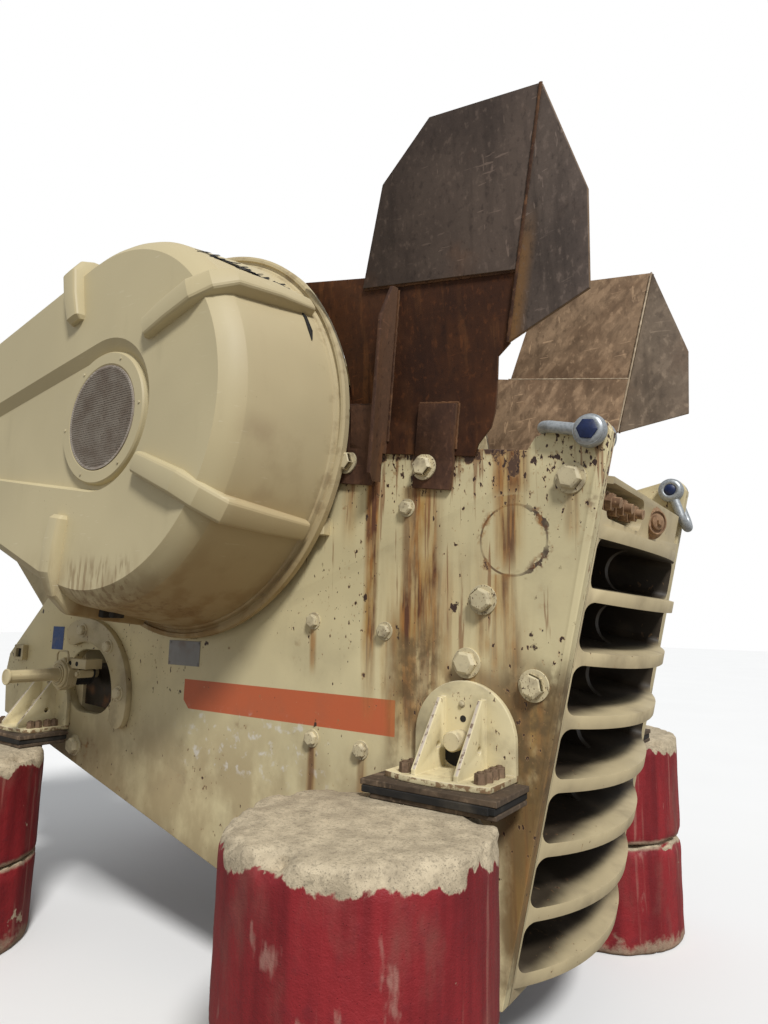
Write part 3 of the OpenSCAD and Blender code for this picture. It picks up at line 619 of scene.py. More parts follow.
@dataclass(frozen=True)
class RustedPlate:
    """Bare plate that has rusted brown.

    It changes slowly between base and light, and edge is the colour of what faces away from Y; on the
    chute plates and bars it is lighter, a painted highlight on their edges.
    """

    name: str
    base: Colour
    light: Colour
    edge: Colour = (0.16, 0.09, 0.05)
    slot: str = "rusted_plate"
    seed: float = 0.0
    mottle: float = 0.5
    runs: float = 0.0
    fold: bool = False
    strokes: float = 0.0
    grit: float = 42.0
    lap: float = CHUTE_LAP

    def make(self) -> Material:
        """Builds the rusted finish."""
        shade = Shade(self.name)
        broad = shade.noise(1.6, 5.0, shift=self.seed)
        mottle = shade.noise(11.0, 8.0, shift=self.seed + 2.0, rough=0.65)
        fine = shade.noise(90.0, 5.0, shift=self.seed)
        drip = shade.noise(12.0, 5.0, 0.07, self.seed + 4.0)
        shade.start(broad.ramp(0.36, 0.66), self.base, self.light)
        shade.coat(mottle.ramp(0.45, 0.72) * self.mottle, tint(self.light, 1.4))
        shade.coat(drip.ramp(0.5, 0.72) * 0.55, tint(self.base, 0.55))
        # Edge colour on faces that don't face along Y: a painted highlight where it is lighter than the
        # plate.
        shade.coat(abs(shade.facing()[1]).ramp(0.75, 0.35) * 0.85, self.edge)
        if self.runs:
            thin = shade.noise(16.0, 4.0, 0.04, self.seed + 12.0).ramp(0.52, 0.7)
            shade.coat(thin * broad.ramp(0.35, 0.6) * self.runs, (0.3, 0.12, 0.035))
        if self.fold:
            self._fold(shade, mottle)
        if self.strokes:
            slant = shade.node("ShaderNodeMapping", {}, {
                "Vector": shade.where, "Rotation": (0.0, 0.9, 0.0)})
            stroke = shade.noise(15.0, 6.0, shift=self.seed + 20.0, across=0.4, where=slant)
            shade.coat(stroke.ramp(0.5, 0.66) * self.strokes, tint(self.light, 1.5))
            shade.coat(stroke.ramp(0.47, 0.34) * self.strokes, tint(self.base, 0.6))
        grit = shade.noise(self.grit, 6.0, 0.6, self.seed + 3.0)
        shade.coat(grit.ramp(0.55, 0.7) * 0.5, tint(self.light, 1.6))
        shade.coat(grit.ramp(0.45, 0.3) * 0.5, tint(self.base, 0.6))
        scratch = shade.noise(7.0, 2.0, shift=self.seed + 6.0, across=5.0).ramp(0.695, 0.71).most(
            shade.noise(6.0, 2.0, 8.0, self.seed + 8.0).ramp(0.69, 0.705))
        shade.coat(scratch * broad.ramp(0.4, 0.6) * 0.5, tint(self.light, 2.3))
        warm = shade.noise(3.0, 4.0, shift=self.seed + 1.0).ramp(0.55, 0.75)
        shade.coat(warm * 0.18, (0.21, 0.085, 0.03))
        rough = 0.55 + fine * 0.25 + mottle * 0.12
        return shade.finish(rough, fine * 0.5 + mottle * 0.6, 0.0016, shine=0.22)

    def _fold(self, shade: Shade, mottle: Val) -> None:
        """Orange rust that has run along the lower end of the fold."""
        x, z = shade.from_shaft - PLATE_TOP[0], shade.z - PLATE_TOP[1]
        along = x * math.cos(TOP_SLOPE) - z * math.sin(TOP_SLOPE)
        up = x * math.sin(TOP_SLOPE) + z * math.cos(TOP_SLOPE)
        off = along - FOLD_FOOT[0] - (up - FOLD_FOOT[1] - self.lap) * FOLD_LEAN
        band = off.ramp(0.095, 0.02) * up.ramp(1.05, 0.8) * (0.4 + mottle * 0.9)
        shade.coat(band.least(1.0) * 0.85, (0.3, 0.155, 0.055))


@dataclass(frozen=True)
class BareSteel:
    """Worked steel with oil stains, or jaw steel with teeth across Y."""

    name: str
    slot: str
    colour: Colour = (0.3, 0.29, 0.275)
    teeth: float = 0.0
    rust: float = 0.35

    def make(self) -> Material:
        """Builds the steel."""
        shade = Shade(self.name)
        broad = shade.noise(3.0, 5.0)
        fine = shade.noise(70.0, 4.0, 0.3)
        stain = shade.noise(9.0, 6.0, shift=3.0).ramp(0.5, 0.72) * self.rust
        shade.start(broad.ramp(0.35, 0.65), tint(self.colour, 0.75), tint(self.colour, 1.15))
        shade.coat(stain, (0.2, 0.09, 0.035))
        height = fine * 0.3 + broad * 0.3
        depth = 0.0015
        if self.teeth:
            wave = shade.ribs(self.teeth)
            shade.coat(wave.ramp(0.5, 0.1) * 0.55, (0.075, 0.055, 0.042))
            height, depth = wave * 10.0 + fine * 0.4, 0.004
        rough = 0.36 + fine * 0.2 + stain * 0.4
        return shade.finish(rough, height, depth, 0.8 - stain * 0.6)


@dataclass(frozen=True)
class Rubber:
    """Dusty black rubber, ribbed across Y where it is a belt."""

    name: str = "black_rubber"
    slot: str = "black_rubber"
    rib: float = 0.0

    def make(self) -> Material:
        """Builds the rubber."""
        shade = Shade(self.name)
        dust = shade.noise(7.0, 6.0)
        fine = shade.noise(90.0, 3.0)
        shade.start(dust.ramp(0.45, 0.75) * 0.6, (0.014, 0.013, 0.012), (0.09, 0.075, 0.055))
        height = fine
        depth = 0.001
        if self.rib:
            wave = shade.ribs(self.rib)
            height, depth = wave * 4.0 + fine, 0.002
        return shade.finish(0.62 + dust * 0.3, height, depth, shine=0.3)


@dataclass(frozen=True)
class DrumPaint:
    """Crimson paint on cast concrete, ragged at the rim and run down the side."""

    name: str = "drum_paint"
    slot: str = "drum_paint"
    front_top: float = DRUM_TOPS[0]
    rear_top: float = DRUM_TOPS[1]
    height: float = DRUM_HEIGHT

    def make(self) -> Material:
        """Builds the painted concrete."""
        shade = Shade(self.name)
        sand = shade.noise(170.0, 4.0)
        stone = shade.noise(14.0, 7.0, rough=0.65)
        pit = shade.cells(55.0, 2.0).ramp(0.12, 0.05)
        runs = shade.noise(7.0, 5.0, 0.09, 3.0)
        concrete = self._concrete(shade, stone, sand)
        paint = self._paint(shade, stone, runs)
        cover = self._cover(shade, stone, runs)
        shade.start(cover, concrete, paint)
        height = stone * 0.9 + sand * 0.25 - pit * 0.4 + cover * 0.12
        return shade.finish(0.88 - cover * 0.34, height, 0.009, shine=0.32)

    def _concrete(self, shade: Shade, stone: Val, sand: Val) -> Val:
        """Colour of the bare concrete."""
        shade.start(stone.ramp(0.3, 0.7), (0.36, 0.295, 0.2), (0.57, 0.475, 0.325))
        shade.coat(shade.noise(2.4, 5.0).ramp(0.5, 0.75) * 0.4, (0.22, 0.175, 0.115))
        shade.coat(shade.noise(60.0, 4.0, shift=4.0).ramp(0.52, 0.66) * 0.4, (0.16, 0.13, 0.09))
        shade.coat(sand.ramp(0.56, 0.68) * 0.6, (0.1, 0.085, 0.065))
        return shade.colour

    def _paint(self, shade: Shade, stone: Val, runs: Val) -> Val:
        """Colour of the paint, with its drips and scrapes."""
        shade.start(runs.ramp(0.36, 0.64), (0.145, 0.009, 0.012), (0.265, 0.018, 0.022))
        shade.coat(shade.noise(6.0, 6.0, 0.4, 9.0).ramp(0.5, 0.75) * 0.5, (0.2, 0.085, 0.065))
        shade.coat(stone.ramp(0.5, 0.75) * 0.5, (0.14, 0.016, 0.022))
        shade.coat(shade.noise(14.0, 5.0, 0.05, 8.0).ramp(0.6, 0.7) * 0.55, (0.36, 0.17, 0.13))
        shade.coat(shade.noise(8.0, 4.0, 0.35, 12.0).ramp(0.64, 0.7) * 0.5, (0.4, 0.24, 0.19))
        return shade.colour

    def _cover(self, shade: Shade, stone: Val, runs: Val) -> Val:
        """Where the paint holds: below the ragged rim, and not at joint, foot, chips or top.

        Args:
            shade: The material.
            stone: Coarse noise.
            runs: Noise drawn out downwards.

        Returns:
            1 on the paint and 0 on bare concrete.
        """
        is_front = shade.x.ramp(-0.01, 0.01)
        drop = is_front * (self.front_top - self.rear_top) + self.rear_top - shade.z
        ragged = drop + (shade.noise(7.0, 6.0, 0.6, 5.0) - 0.5) * 0.24 + (runs - 0.5) * 0.04
        joint = abs(drop - self.height + (stone - 0.5) * 0.03).ramp(0.035, 0.012)
        bare = shade.noise(5.0, 7.0, shift=6.0, rough=0.7).ramp(0.66, 0.68)
        foot = (shade.z + (stone - 0.5) * 0.3).ramp(0.1, 0.02)
        up = shade.facing()[2].ramp(0.6, 0.8)
        return (ragged.ramp(0.06, 0.07) * (1 - joint * 0.75) * (1 - bare * 0.85)
                * (1 - foot * 0.7) * (1 - up))


@dataclass(frozen=True)
class Zinc:
    """Galvanised steel with soft spangle."""

    name: str = "shackle_zinc"
    slot: str = "shackle_zinc"

    def make(self) -> Material:
        """Builds the zinc coat."""
        shade = Shade(self.name)
        spangle = shade.cells(85.0)
        dull = shade.noise(14.0, 5.0)
        shade.start(spangle.ramp(0.1, 0.7), (0.3, 0.32, 0.33), (0.4, 0.42, 0.43))
        shade.coat(dull.ramp(0.55, 0.75) * 0.6, (0.2, 0.2, 0.19))
        return shade.finish(0.34 + dull * 0.2, dull + spangle * 0.3, 0.0008, 0.55)


@dataclass(frozen=True)
class Enamel:
    """Thick machine enamel with dust, for the shackle pins and the motor."""

    name: str
    slot: str
    colour: Colour
    dusty: float = 0.45

    def make(self) -> Material:
        """Builds the enamel."""
        shade = Shade(self.name)
        dust = shade.noise(12.0, 6.0)
        fine = shade.noise(80.0, 3.0)
        shade.start(fine.ramp(0.3, 0.7), tint(self.colour, 0.85), tint(self.colour, 1.15))
        shade.coat(dust.ramp(0.5, 0.75) * self.dusty, (0.25, 0.22, 0.17))
        shade.coat(shade.noise(40.0, 3.0, shift=2.0).ramp(0.7, 0.73), CHIP)
        return shade.finish(0.34 + dust * 0.25, fine + dust, 0.0008)


@dataclass(frozen=True)
class GrilleWire:
    """Rusty grey slats of the guard grilles."""

    name: str = "grille_mesh"
    slot: str = "grille_mesh"

    def make(self) -> Material:
        """Builds the slat finish."""
        shade = Shade(self.name)
        patch = shade.noise(9.0, 6.0)
        fine = shade.noise(120.0, 3.0)
        shade.start(patch.ramp(0.35, 0.7), (0.44, 0.39, 0.33), (0.32, 0.26, 0.21))
        shade.coat(fine.ramp(0.6, 0.7) * 0.5, (0.12, 0.07, 0.045))
        return shade.finish(0.55 + patch * 0.2, fine, 0.0008, 0.35)


PLATE_RUNS = tuple(Streak(*run) for run in (
    (1.54, 0.2, 2.52, 1.25, 1.1), (1.47, 0.07, 2.44, 1.5, 1.2), (1.98, 0.12, 2.44, 2.05, 0.8),
    (1.53, 0.3, 1.95, 1.2, 0.75, 0.2), (1.6, 0.06, 2.5, 1.25, 1.2), (1.98, 0.15, 2.64, 2.38, 0.9),
    (1.95, 0.13, 2.1, 1.55, 0.75), (1.26, 0.07, 2.6, 1.35, 1.3), (1.12, 0.08, 2.62, 2.2, 0.45),
    (2.05, 0.26, 1.66, 1.0, 0.4), (2.03, 0.16, 1.2, 0.45, 0.5), (1.9, 0.3, 2.2, 1.4, 0.2, 0.3),
    (1.62, 0.28, 2.2, 1.2, 0.35, 0.3), (1.42, 0.2, 2.1, 1.3, 0.25, 0.3),
    (1.853, 0.07, 1.95, 1.7, 0.7), (1.777, 0.07, 1.68, 1.5, 0.7), (2.079, 0.08, 1.61, 1.3, 0.8),
    (2.248, 0.06, 2.44, 2.2, 0.6), (0.91, 0.04, 1.86, 1.6, 0.6), (1.35, 0.05, 1.82, 1.45, 0.5),
    (0.93, 0.05, 1.28, 0.95, 0.7), (1.23, 0.05, 1.27, 0.9, 0.7), (-1.07, 0.06, 1.02, 0.7, 0.6),
))
NEAR_PLATE = WornPaint("near_plate_paint", colour=(0.68, 0.585, 0.34), chips=0.95, dirt=0.32,
                       streaks=PLATE_RUNS, plate=True)
FAR_PLATE = WornPaint("far_plate_paint", chips=0.7, dirt=0.5, streaks=PLATE_RUNS[:7], seed=6.0)
CASTING = WornPaint("casting_paint", colour=(0.56, 0.46, 0.27), seed=2.0, chips=0.2, dirt=0.8,
                    pockets=True)
BODY_PAINT = WornPaint("body_paint", colour=(0.57, 0.475, 0.28), seed=3.0, chips=0.2, dirt=0.8)
FOOT_PAINT = WornPaint("foot_paint", colour=(0.65, 0.56, 0.335), seed=4.0, chips=0.4, dirt=0.8,
                       gussets=True, small=1.5)
GEAR_PAINT = WornPaint("gear_paint", colour=(0.54, 0.45, 0.26), seed=8.0, chips=0.8, dirt=1.3)
BOLT_PAINT = WornPaint("bolt_paint", colour=(0.56, 0.48, 0.3), seed=1.0, chips=1.6, dirt=1.2, small=3.5)
# Black rubber for the bellows, and a dark coat for painted shade in holes and recesses.
BLACK_RUBBER_AND_SHADE = Rubber("black_rubber_and_shade")
PAD_STEEL = RustedPlate("pad_steel", (0.045, 0.032, 0.022), (0.15, 0.105, 0.068), (0.07, 0.05, 0.034),
                        slot="black_rubber", seed=4.0)
RUSTY_BOLT = RustedPlate("rusty_fasteners", (0.075, 0.045, 0.028), (0.2, 0.13, 0.08),
                         (0.13, 0.085, 0.05), grit=90.0)
GUARD = GuardMoulding()
NEAR_WALL = RustedPlate("near_wall_rust", (0.03, 0.0095, 0.003), (0.068, 0.022, 0.006),
                        (0.12, 0.06, 0.03), mottle=0.25, runs=0.3)
NEAR_WING = RustedPlate("near_wing_rust", (0.06, 0.042, 0.033), (0.098, 0.07, 0.054),
                        (0.15, 0.09, 0.05), seed=2.0, mottle=0.25)
NEAR_FOLD = RustedPlate("near_fold_rust", (0.082, 0.062, 0.052), (0.14, 0.105, 0.085),
                        (0.2, 0.13, 0.075), seed=2.0, mottle=0.25, fold=True)
NEAR_BARS = RustedPlate("near_bar_rust", (0.055, 0.026, 0.016), (0.105, 0.05, 0.028),
                        (0.115, 0.062, 0.036), seed=7.0, mottle=0.4, runs=0.4)
WELD = RustedPlate("weld_rust", (0.05, 0.022, 0.012), (0.16, 0.075, 0.032), seed=9.0)
FAR_CHUTE = RustedPlate("far_chute_rust", (0.15, 0.09, 0.05), (0.28, 0.185, 0.11), (0.42, 0.33, 0.22),
                        seed=5.0, mottle=0.4, strokes=0.45, grit=30.0)
FAR_FOLD = RustedPlate("far_fold_rust", (0.125, 0.09, 0.062), (0.2, 0.15, 0.105), (0.42, 0.33, 0.22),
                       seed=5.5, mottle=0.3, strokes=0.3, grit=24.0)
SEAM_HIGHLIGHT = RustedPlate("far_seam_highlight", (0.32, 0.24, 0.16), (0.5, 0.4, 0.28), (0.42, 0.33, 0.22),
                       seed=6.0)
CLAMP_RUST = RustedPlate("clamp_rust", (0.16, 0.09, 0.05), (0.34, 0.22, 0.13), (0.3, 0.19, 0.11),
                         seed=3.0, grit=80.0)
JAW_STEEL = BareSteel("jaw_steel", "jaw_steel", (0.2, 0.17, 0.145), teeth=0.09)
WEAR_STEEL = BareSteel("wear_steel", "jaw_steel", (0.22, 0.19, 0.16), rust=0.6)
WORKED = BareSteel("worked_steel", "worked_steel")
WEDGE = BareSteel("wedge_steel", "worked_steel", (0.06, 0.05, 0.042), rust=0.8)
SPRING = BareSteel("spring_steel", "spring_steel", (0.08, 0.08, 0.08), rust=0.5)
TORN = Rubber("torn_edge")


# Mesh kit


class Shape:
    """A mesh in the making, put together from operator-made solids."""

    def __init__(self) -> None:
        """Starts empty."""
        self.bm: BMesh = bmesh.new()

    def block(self, low: Sequence[float], high: Sequence[float],
              at: Optional[Matrix] = None) -> "Shape":
        """A box between two corners, in a frame of its own where one is given."""
        low, high = Vector(low), Vector(high)
        size = Matrix.Diagonal((*(high - low), 1.0))
        where = (at or Matrix.Identity(4)) @ Matrix.Translation((low + high) / 2) @ size
        bmesh.ops.create_cube(self.bm, size=1.0, matrix=where)
        return self

    def crate(self, low: Point, high: Point) -> "Shape":
        """A box between two corners whose X is counted from the shaft."""
        return self.block(place(*low), place(*high))

    def rod(self, start: Sequence[float], end: Sequence[float], radius: float,
            tip: Optional[float] = None, sides: int = 32, turn: float = 0.0) -> "Shape":
        """A round or many-sided bar between two points.

        Args:
            start: Centre of its first end.
            end: Centre of its other end.
            radius: Radius at the start.
            tip: Radius at the end, if it differs.
            sides: Number of sides.
            turn: Turn about its axis, in degrees.

        Returns:
            The shape itself.
        """
        start, end = Vector(start), Vector(end)
        where = aim((start + end) / 2, end - start, turn)
        bmesh.ops.create_cone(self.bm, cap_ends=True, cap_tris=False, segments=sides,
                              radius1=radius, radius2=radius if tip is None else tip,
                              depth=(end - start).length, matrix=where)
        return self

    def peg(self, x: float, z: float, y0: float, y1: float, radius: float,
            sides: int = 32, turn: float = 0.0) -> "Shape":
        """A bar across the machine from y0 to y1, with its X counted from the shaft."""
        return self.rod(place(x, y0, z), place(x, y1, z), radius, sides=sides, turn=turn)

    def hull(self, rings: Iterable[tuple[float, float, float, float, int]]) -> "Shape":
        """A solid wrapped round circles that lie across the shaft's axis.

        Args:
            rings: X and Z counted from the shaft, Y, radius and number of sides of each.

        Returns:
            The shape itself.
        """
        for x, z, y, radius, sides in rings:
            bmesh.ops.create_circle(self.bm, segments=sides, radius=radius,
                                    matrix=aim(place(x, y, SHAFT_Z + z), OUTWARDS))
        bmesh.ops.convex_hull(self.bm, input=self.bm.verts[:])
        bmesh.ops.dissolve_limit(self.bm, angle_limit=math.radians(0.5), verts=self.bm.verts[:],
                                 edges=self.bm.edges[:])
        return self

    def lathe(self, profile: Sequence[Flat], at: Matrix, sides: int = 64) -> "Shape":
        """Turns a profile of radius and height pairs about a frame's Z axis.

        Args:
            profile: Outline, closed on the axis or as a ring.
            at: Frame of the axis.
            sides: Steps of the turn.

        Returns:
            The shape itself.
        """
        made = [self.bm.verts.new((r, 0.0, h)) for r, h in profile]
        ring = profile[0][0] > 1e-6 and profile[-1][0] > 1e-6
        pairs = list(zip(made, made[1:] + (made[:1] if ring else [])))
        edges = [self.bm.edges.new(pair) for pair in pairs if pair[1] is not pair[0]][:len(made)]
        spun = bmesh.ops.spin(self.bm, geom=made + edges, cent=(0, 0, 0), axis=(0, 0, 1),
                              angle=2 * math.pi, steps=sides, use_merge=True)
        near = {v for f in self.bm.faces for v in f.verts if v in set(made)} | set(made)
        reach = list(self._linked(near | {g for g in spun["geom_last"] if hasattr(g, "co")}))
        bmesh.ops.remove_doubles(self.bm, verts=reach, dist=1e-5)
        reach = [v for v in reach if v.is_valid]
        bmesh.ops.transform(self.bm, matrix=at, verts=reach)
        return self

    def _linked(self, start: Iterable[BMVert]) -> set[BMVert]:
        """All vertices that hang together with the given ones."""
        found, open_ends = set(start), list(start)
        while open_ends:
            for edge in open_ends.pop().link_edges:
                for vert in edge.verts:
                    if vert not in found:
                        found.add(vert)
                        open_ends.append(vert)
        return found

    def slab(self, outline: Sequence[Flat], y0: float, y1: float,
             at: Optional[Matrix] = None) -> "Shape":
        """A plate from an outline in X and Z, filled from y0 to y1."""
        verts = [self.bm.verts.new((x, y0, z)) for x, z in outline]
        face = self.bm.faces.new(verts)
        made = bmesh.ops.extrude_face_region(self.bm, geom=[face])["geom"]
        moved = [v for v in made if isinstance(v, BMVert)]
        bmesh.ops.translate(self.bm, vec=(0, y1 - y0, 0), verts=moved)
        if at:
            bmesh.ops.transform(self.bm, matrix=at, verts=verts + moved)
        return self

    def sweep(self, path: Sequence[Sequence[float]], widths: Sequence[Flat],
              out: Sequence[Sequence[float]], sides: int = 16, power: float = 1.0) -> "Shape":
        """A bar of changing section along a path, closed at both ends.

        Args:
            path: Points of its middle line.
            widths: Half width and half height of each section.
            out: Direction of the height of each section.
            sides: Vertices of a section.
            power: 1 is an ellipse, and less is squarer.

        Returns:
            The shape itself.
        """
        points = [Vector(p) for p in path]
        rings: list[list[bmesh.types.BMEdge]] = []
        for i, point in enumerate(points):
            along = points[min(i + 1, len(points) - 1)] - points[max(i - 1, 0)]
            up = Vector(out[i]).normalized()
            side = along.cross(up).normalized()
            up = side.cross(along).normalized()
            verts = []
            for k in range(sides):
                a = 2 * math.pi * (k + 0.5) / sides
                c, s = math.cos(a), math.sin(a)
                w = math.copysign(abs(c) ** power, c) * widths[i][0]
                h = math.copysign(abs(s) ** power, s) * widths[i][1]
                verts.append(self.bm.verts.new(point + side * w + up * h))
            rings.append([self.bm.edges.new(e) for e in zip(verts, verts[1:] + verts[:1])])
            if i in (0, len(points) - 1):
                self.bm.faces.new(verts)
        for first, second in zip(rings, rings[1:]):
            bmesh.ops.bridge_loops(self.bm, edges=first + second)
        return self

    def bolt(self, at: Sequence[float], way: Sequence[float], width: float = 0.08,
             turn: float = 0.0, stub: float = 0.0) -> "Shape":
        """A hex head on a washer, with a chamfer and the end of its thread.

        Args:
            at: Foot of the washer.
            way: Direction in which it stands out.
            width: Width across the corners.
            turn: Turn of the head, in degrees.
            stub: How far a thread stands out of a nut.

        Returns:
            The shape itself.
        """
        foot, out = Vector(at), Vector(way).normalized()
        r, tall = width / 2, width * 0.36
        start = foot - out * 0.004
        self.rod(start, foot + out * width * 0.08, r * 1.28, sides=32)
        body = foot + out * (width * 0.08 + tall * 0.82)
        self.rod(foot + out * width * 0.07, body, r, sides=6, turn=turn)
        self.rod(body, foot + out * (width * 0.08 + tall), r, r * 0.8, 6, turn)
        if stub:
            self.rod(foot, foot + out * (width * 0.08 + tall + stub), r * 0.52, sides=20)
        return self

    def mirrored(self) -> "Shape":
        """Adds the same shape on the other side of the middle plane."""
        made = bmesh.ops.duplicate(self.bm, geom=self.bm.verts[:] + self.bm.edges[:]
                                   + self.bm.faces[:])["geom"]
        verts = [v for v in made if isinstance(v, BMVert)]
        faces = [f for f in made if isinstance(f, bmesh.types.BMFace)]
        bmesh.ops.scale(self.bm, vec=(1, -1, 1), verts=verts)
        bmesh.ops.reverse_faces(self.bm, faces=faces)
        return self

    def flip(self) -> "Shape":
        """Turns the shape over to the other side of the middle plane."""
        bmesh.ops.scale(self.bm, vec=(1, -1, 1), verts=self.bm.verts[:])
        bmesh.ops.reverse_faces(self.bm, faces=self.bm.faces[:])
        return self

    def tidy(self, merge: float = 1e-5) -> "Shape":
        """Merges doubles and turns the faces outwards."""
        bmesh.ops.remove_doubles(self.bm, verts=self.bm.verts[:], dist=merge)
        bmesh.ops.recalc_face_normals(self.bm, faces=self.bm.faces[:])
        return self

    def carve(self, tool: "Shape") -> "Shape":
        """Cuts another closed shape out of this one, and uses the other one up."""
        base, cutter = loose(self.tidy().bm, "base"), loose(tool.tidy().bm, "cutter")
        change = base.modifiers.new("cut", "BOOLEAN")
        change.operation, change.object, change.solver = "DIFFERENCE", cutter, "EXACT"
        graph = bpy.context.evaluated_depsgraph_get()
        made = bpy.data.meshes.new_from_object(base.evaluated_get(graph))
        self.bm.clear()
        self.bm.from_mesh(made)
        tool.bm.free()
        for gone in (base, cutter):
            bpy.data.meshes.remove(gone.data)
        bpy.data.meshes.remove(made)
        return self


def loose(bm: BMesh, name: str) -> bpy.types.Object:
    """A bmesh as an object of the scene."""
    mesh = bpy.data.meshes.new(name)
    bm.to_mesh(mesh)
    made = bpy.data.objects.new(name, mesh)
    bpy.context.scene.collection.objects.link(made)
    return made


def soften(obj: bpy.types.Object, edge: float, segments: int, angle: float) -> None:
    """Rounds an object's edges and smooths its shading.

    Args:
        obj: The object.
        edge: Width of the rounding in metres, or 0 for none.
        segments: Steps of the rounding.
        angle: Smallest angle that counts as an edge, in degrees.
    """
    obj.data.polygons.foreach_set("use_smooth", [True] * len(obj.data.polygons))
    if edge:
        change = obj.modifiers.new("rounding", "BEVEL")
        change.width, change.segments, change.profile = edge, segments, 0.5
        change.limit_method, change.angle_limit = "ANGLE", math.radians(angle)
        change.harden_normals = True
        return
    bm = bmesh.new()
    bm.from_mesh(obj.data)
    for line in bm.edges:
        line.smooth = line.calc_face_angle(0.0) < math.radians(angle)
    bm.to_mesh(obj.data)
    bm.free()


def piece(name: str, shape: Shape, finish: Finish, body: Body = Body.CRUSHER,
          edge: float = 0.003, segments: int = 2, angle: float = 32.0,
          instead: Sequence[str] = (), merge: float = 1e-5) -> bpy.types.Object:
    """Makes a finished piece of the scene.

    Args:
        name: Its name.
        shape: Its mesh, which is used up.
        finish: Its finish.
        body: The body that it rides on.
        edge: Width of its rounded edges.
        segments: Steps of the rounding.
        angle: Smallest angle that is rounded, in degrees.
        instead: CAD nodes that it stands for.
        merge: Distance at which doubles are merged.

    Returns:
        The object.
    """
    made = loose(shape.tidy(merge).bm, name)
    shape.bm.free()
    soften(made, edge, segments, angle)
    made.data.materials.append(material_of(finish))
    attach(made, body.value)
    if instead:
        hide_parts(*instead)
    log.info("%s: %d faces", name, len(made.data.polygons))
    return made


def sided(side: Side, what: str, shape: Shape, finish: Finish, edge: float,
          segments: int = 2, angle: float = 32.0, instead: Sequence[str] = ()) -> None:
    """Finishes a piece on one side of the machine, from its shape on the near side."""
    if side is Side.FAR:
        shape.flip()
    piece(f"{side.name.lower()}_{what}", shape, finish, edge=edge, segments=segments, angle=angle,
          instead=instead)


def refine(node: str, finish: Finish, edge: float, segments: int = 2, body: Body = Body.CRUSHER,
           angle: float = 32.0, extra: Optional[Shape] = None, cut: Optional[Shape] = None) -> None:
    """Replaces a CAD node by the same shape with rounded edges and its finish.

    Args:
        node: The CAD node.
        finish: Its finish.
        edge: Width of its rounded edges.
        segments: Steps of the rounding.
        body: The body that it rides on.
        angle: Smallest angle that is rounded, in degrees.
        extra: More solids that belong to it.
        cut: What is cut out of it.
    """
    shape = extra or Shape()
    shape.bm.from_mesh(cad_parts[node].data)
    bmesh.ops.remove_doubles(shape.bm, verts=shape.bm.verts[:], dist=2e-5)
    bmesh.ops.dissolve_limit(shape.bm, angle_limit=math.radians(0.8), verts=shape.bm.verts[:],
                             edges=shape.bm.edges[:])
    if cut:
        shape.carve(cut)
    piece("dressed_" + node, shape, finish, body, edge, segments, angle, (node,))


# Sub-assemblies


@dataclass
class SidePlates:
    """Both side plates with their bolts, the blank plates and the rear clip."""

    large: Places = ((2.248, 2.483), (1.853, 1.99), (1.777, 1.722), (2.079, 1.648), (-1.075, 1.049))
    small: Places = ((1.347, 1.845), (0.912, 1.883), (0.928, 1.317), (1.226, 1.297), (1.458, 2.419))
    large_width: float = 0.102
    small_width: float = 0.068
    rating: tuple[Point, Point] = ((-0.196, -0.753, 1.61), (0.075, -0.749, 1.75))
    tag: tuple[Point, Point] = ((-1.455, -0.7525, 1.645), (-1.32, -0.7495, 1.8))
    clip: tuple[Point, Point] = ((-1.88, -0.79, 1.555), (-1.76, -0.748, 1.66))
    clip_hollow: tuple[Point, Point] = ((-1.855, -0.8, 1.575), (-1.785, -0.768, 1.635))
    clip_floor: tuple[Point, Point] = ((-1.853, -0.7695, 1.577), (-1.787, -0.766, 1.633))

    def build(self) -> None:
        """Builds plates, bolts and what sits on the near plate."""
        refine("near_side_plate", NEAR_PLATE, 0.005)
        refine("far_side_plate", FAR_PLATE, 0.005)
        for side in Side:
            self._bolts(side)
        self._labels()

    def _bolts(self, side: Side) -> None:
        """The plate bolts of one side."""
        shape = Shape()
        rng = random.Random(4)
        for places, width in ((self.large, self.large_width), (self.small, self.small_width)):
            for x, z in places:
                shape.bolt(place(x, -PLATE_Y, z), OUTWARDS, width, rng.uniform(0, 60))
        sided(side, "plate_bolts", shape, BOLT_PAINT, 0.002)

    def _labels(self) -> None:
        """The bare rating plate with its rivets, the blank tag, and the rear clip, whose recess has a
        dark floor of painted shade.
        """
        rating = Shape().crate(*self.rating)
        (x0, y, z0), (x1, _, z1) = self.rating
        for x in (x0 + 0.012, x1 - 0.012):
            for z in (z0 + 0.012, z1 - 0.012):
                rating.peg(x, z, y, y - 0.003, 0.006, sides=12)
        piece("rating_plate_blank", rating, BareSteel("label_steel", "worked_steel"), edge=0.001)
        piece("blank_tag", Shape().crate(*self.tag), Enamel("tag_enamel", "pin_paint", (0.02, 0.06, 0.2)),
              edge=0.001)
        clip = Shape().crate(*self.clip).carve(Shape().crate(*self.clip_hollow))
        piece("rear_clip", clip, GEAR_PAINT, edge=0.004)
        # A dark floor in the clip's recess: painted shade.
        piece("clip_recess_shade", Shape().crate(*self.clip_floor), BLACK_RUBBER_AND_SHADE, edge=0.0)


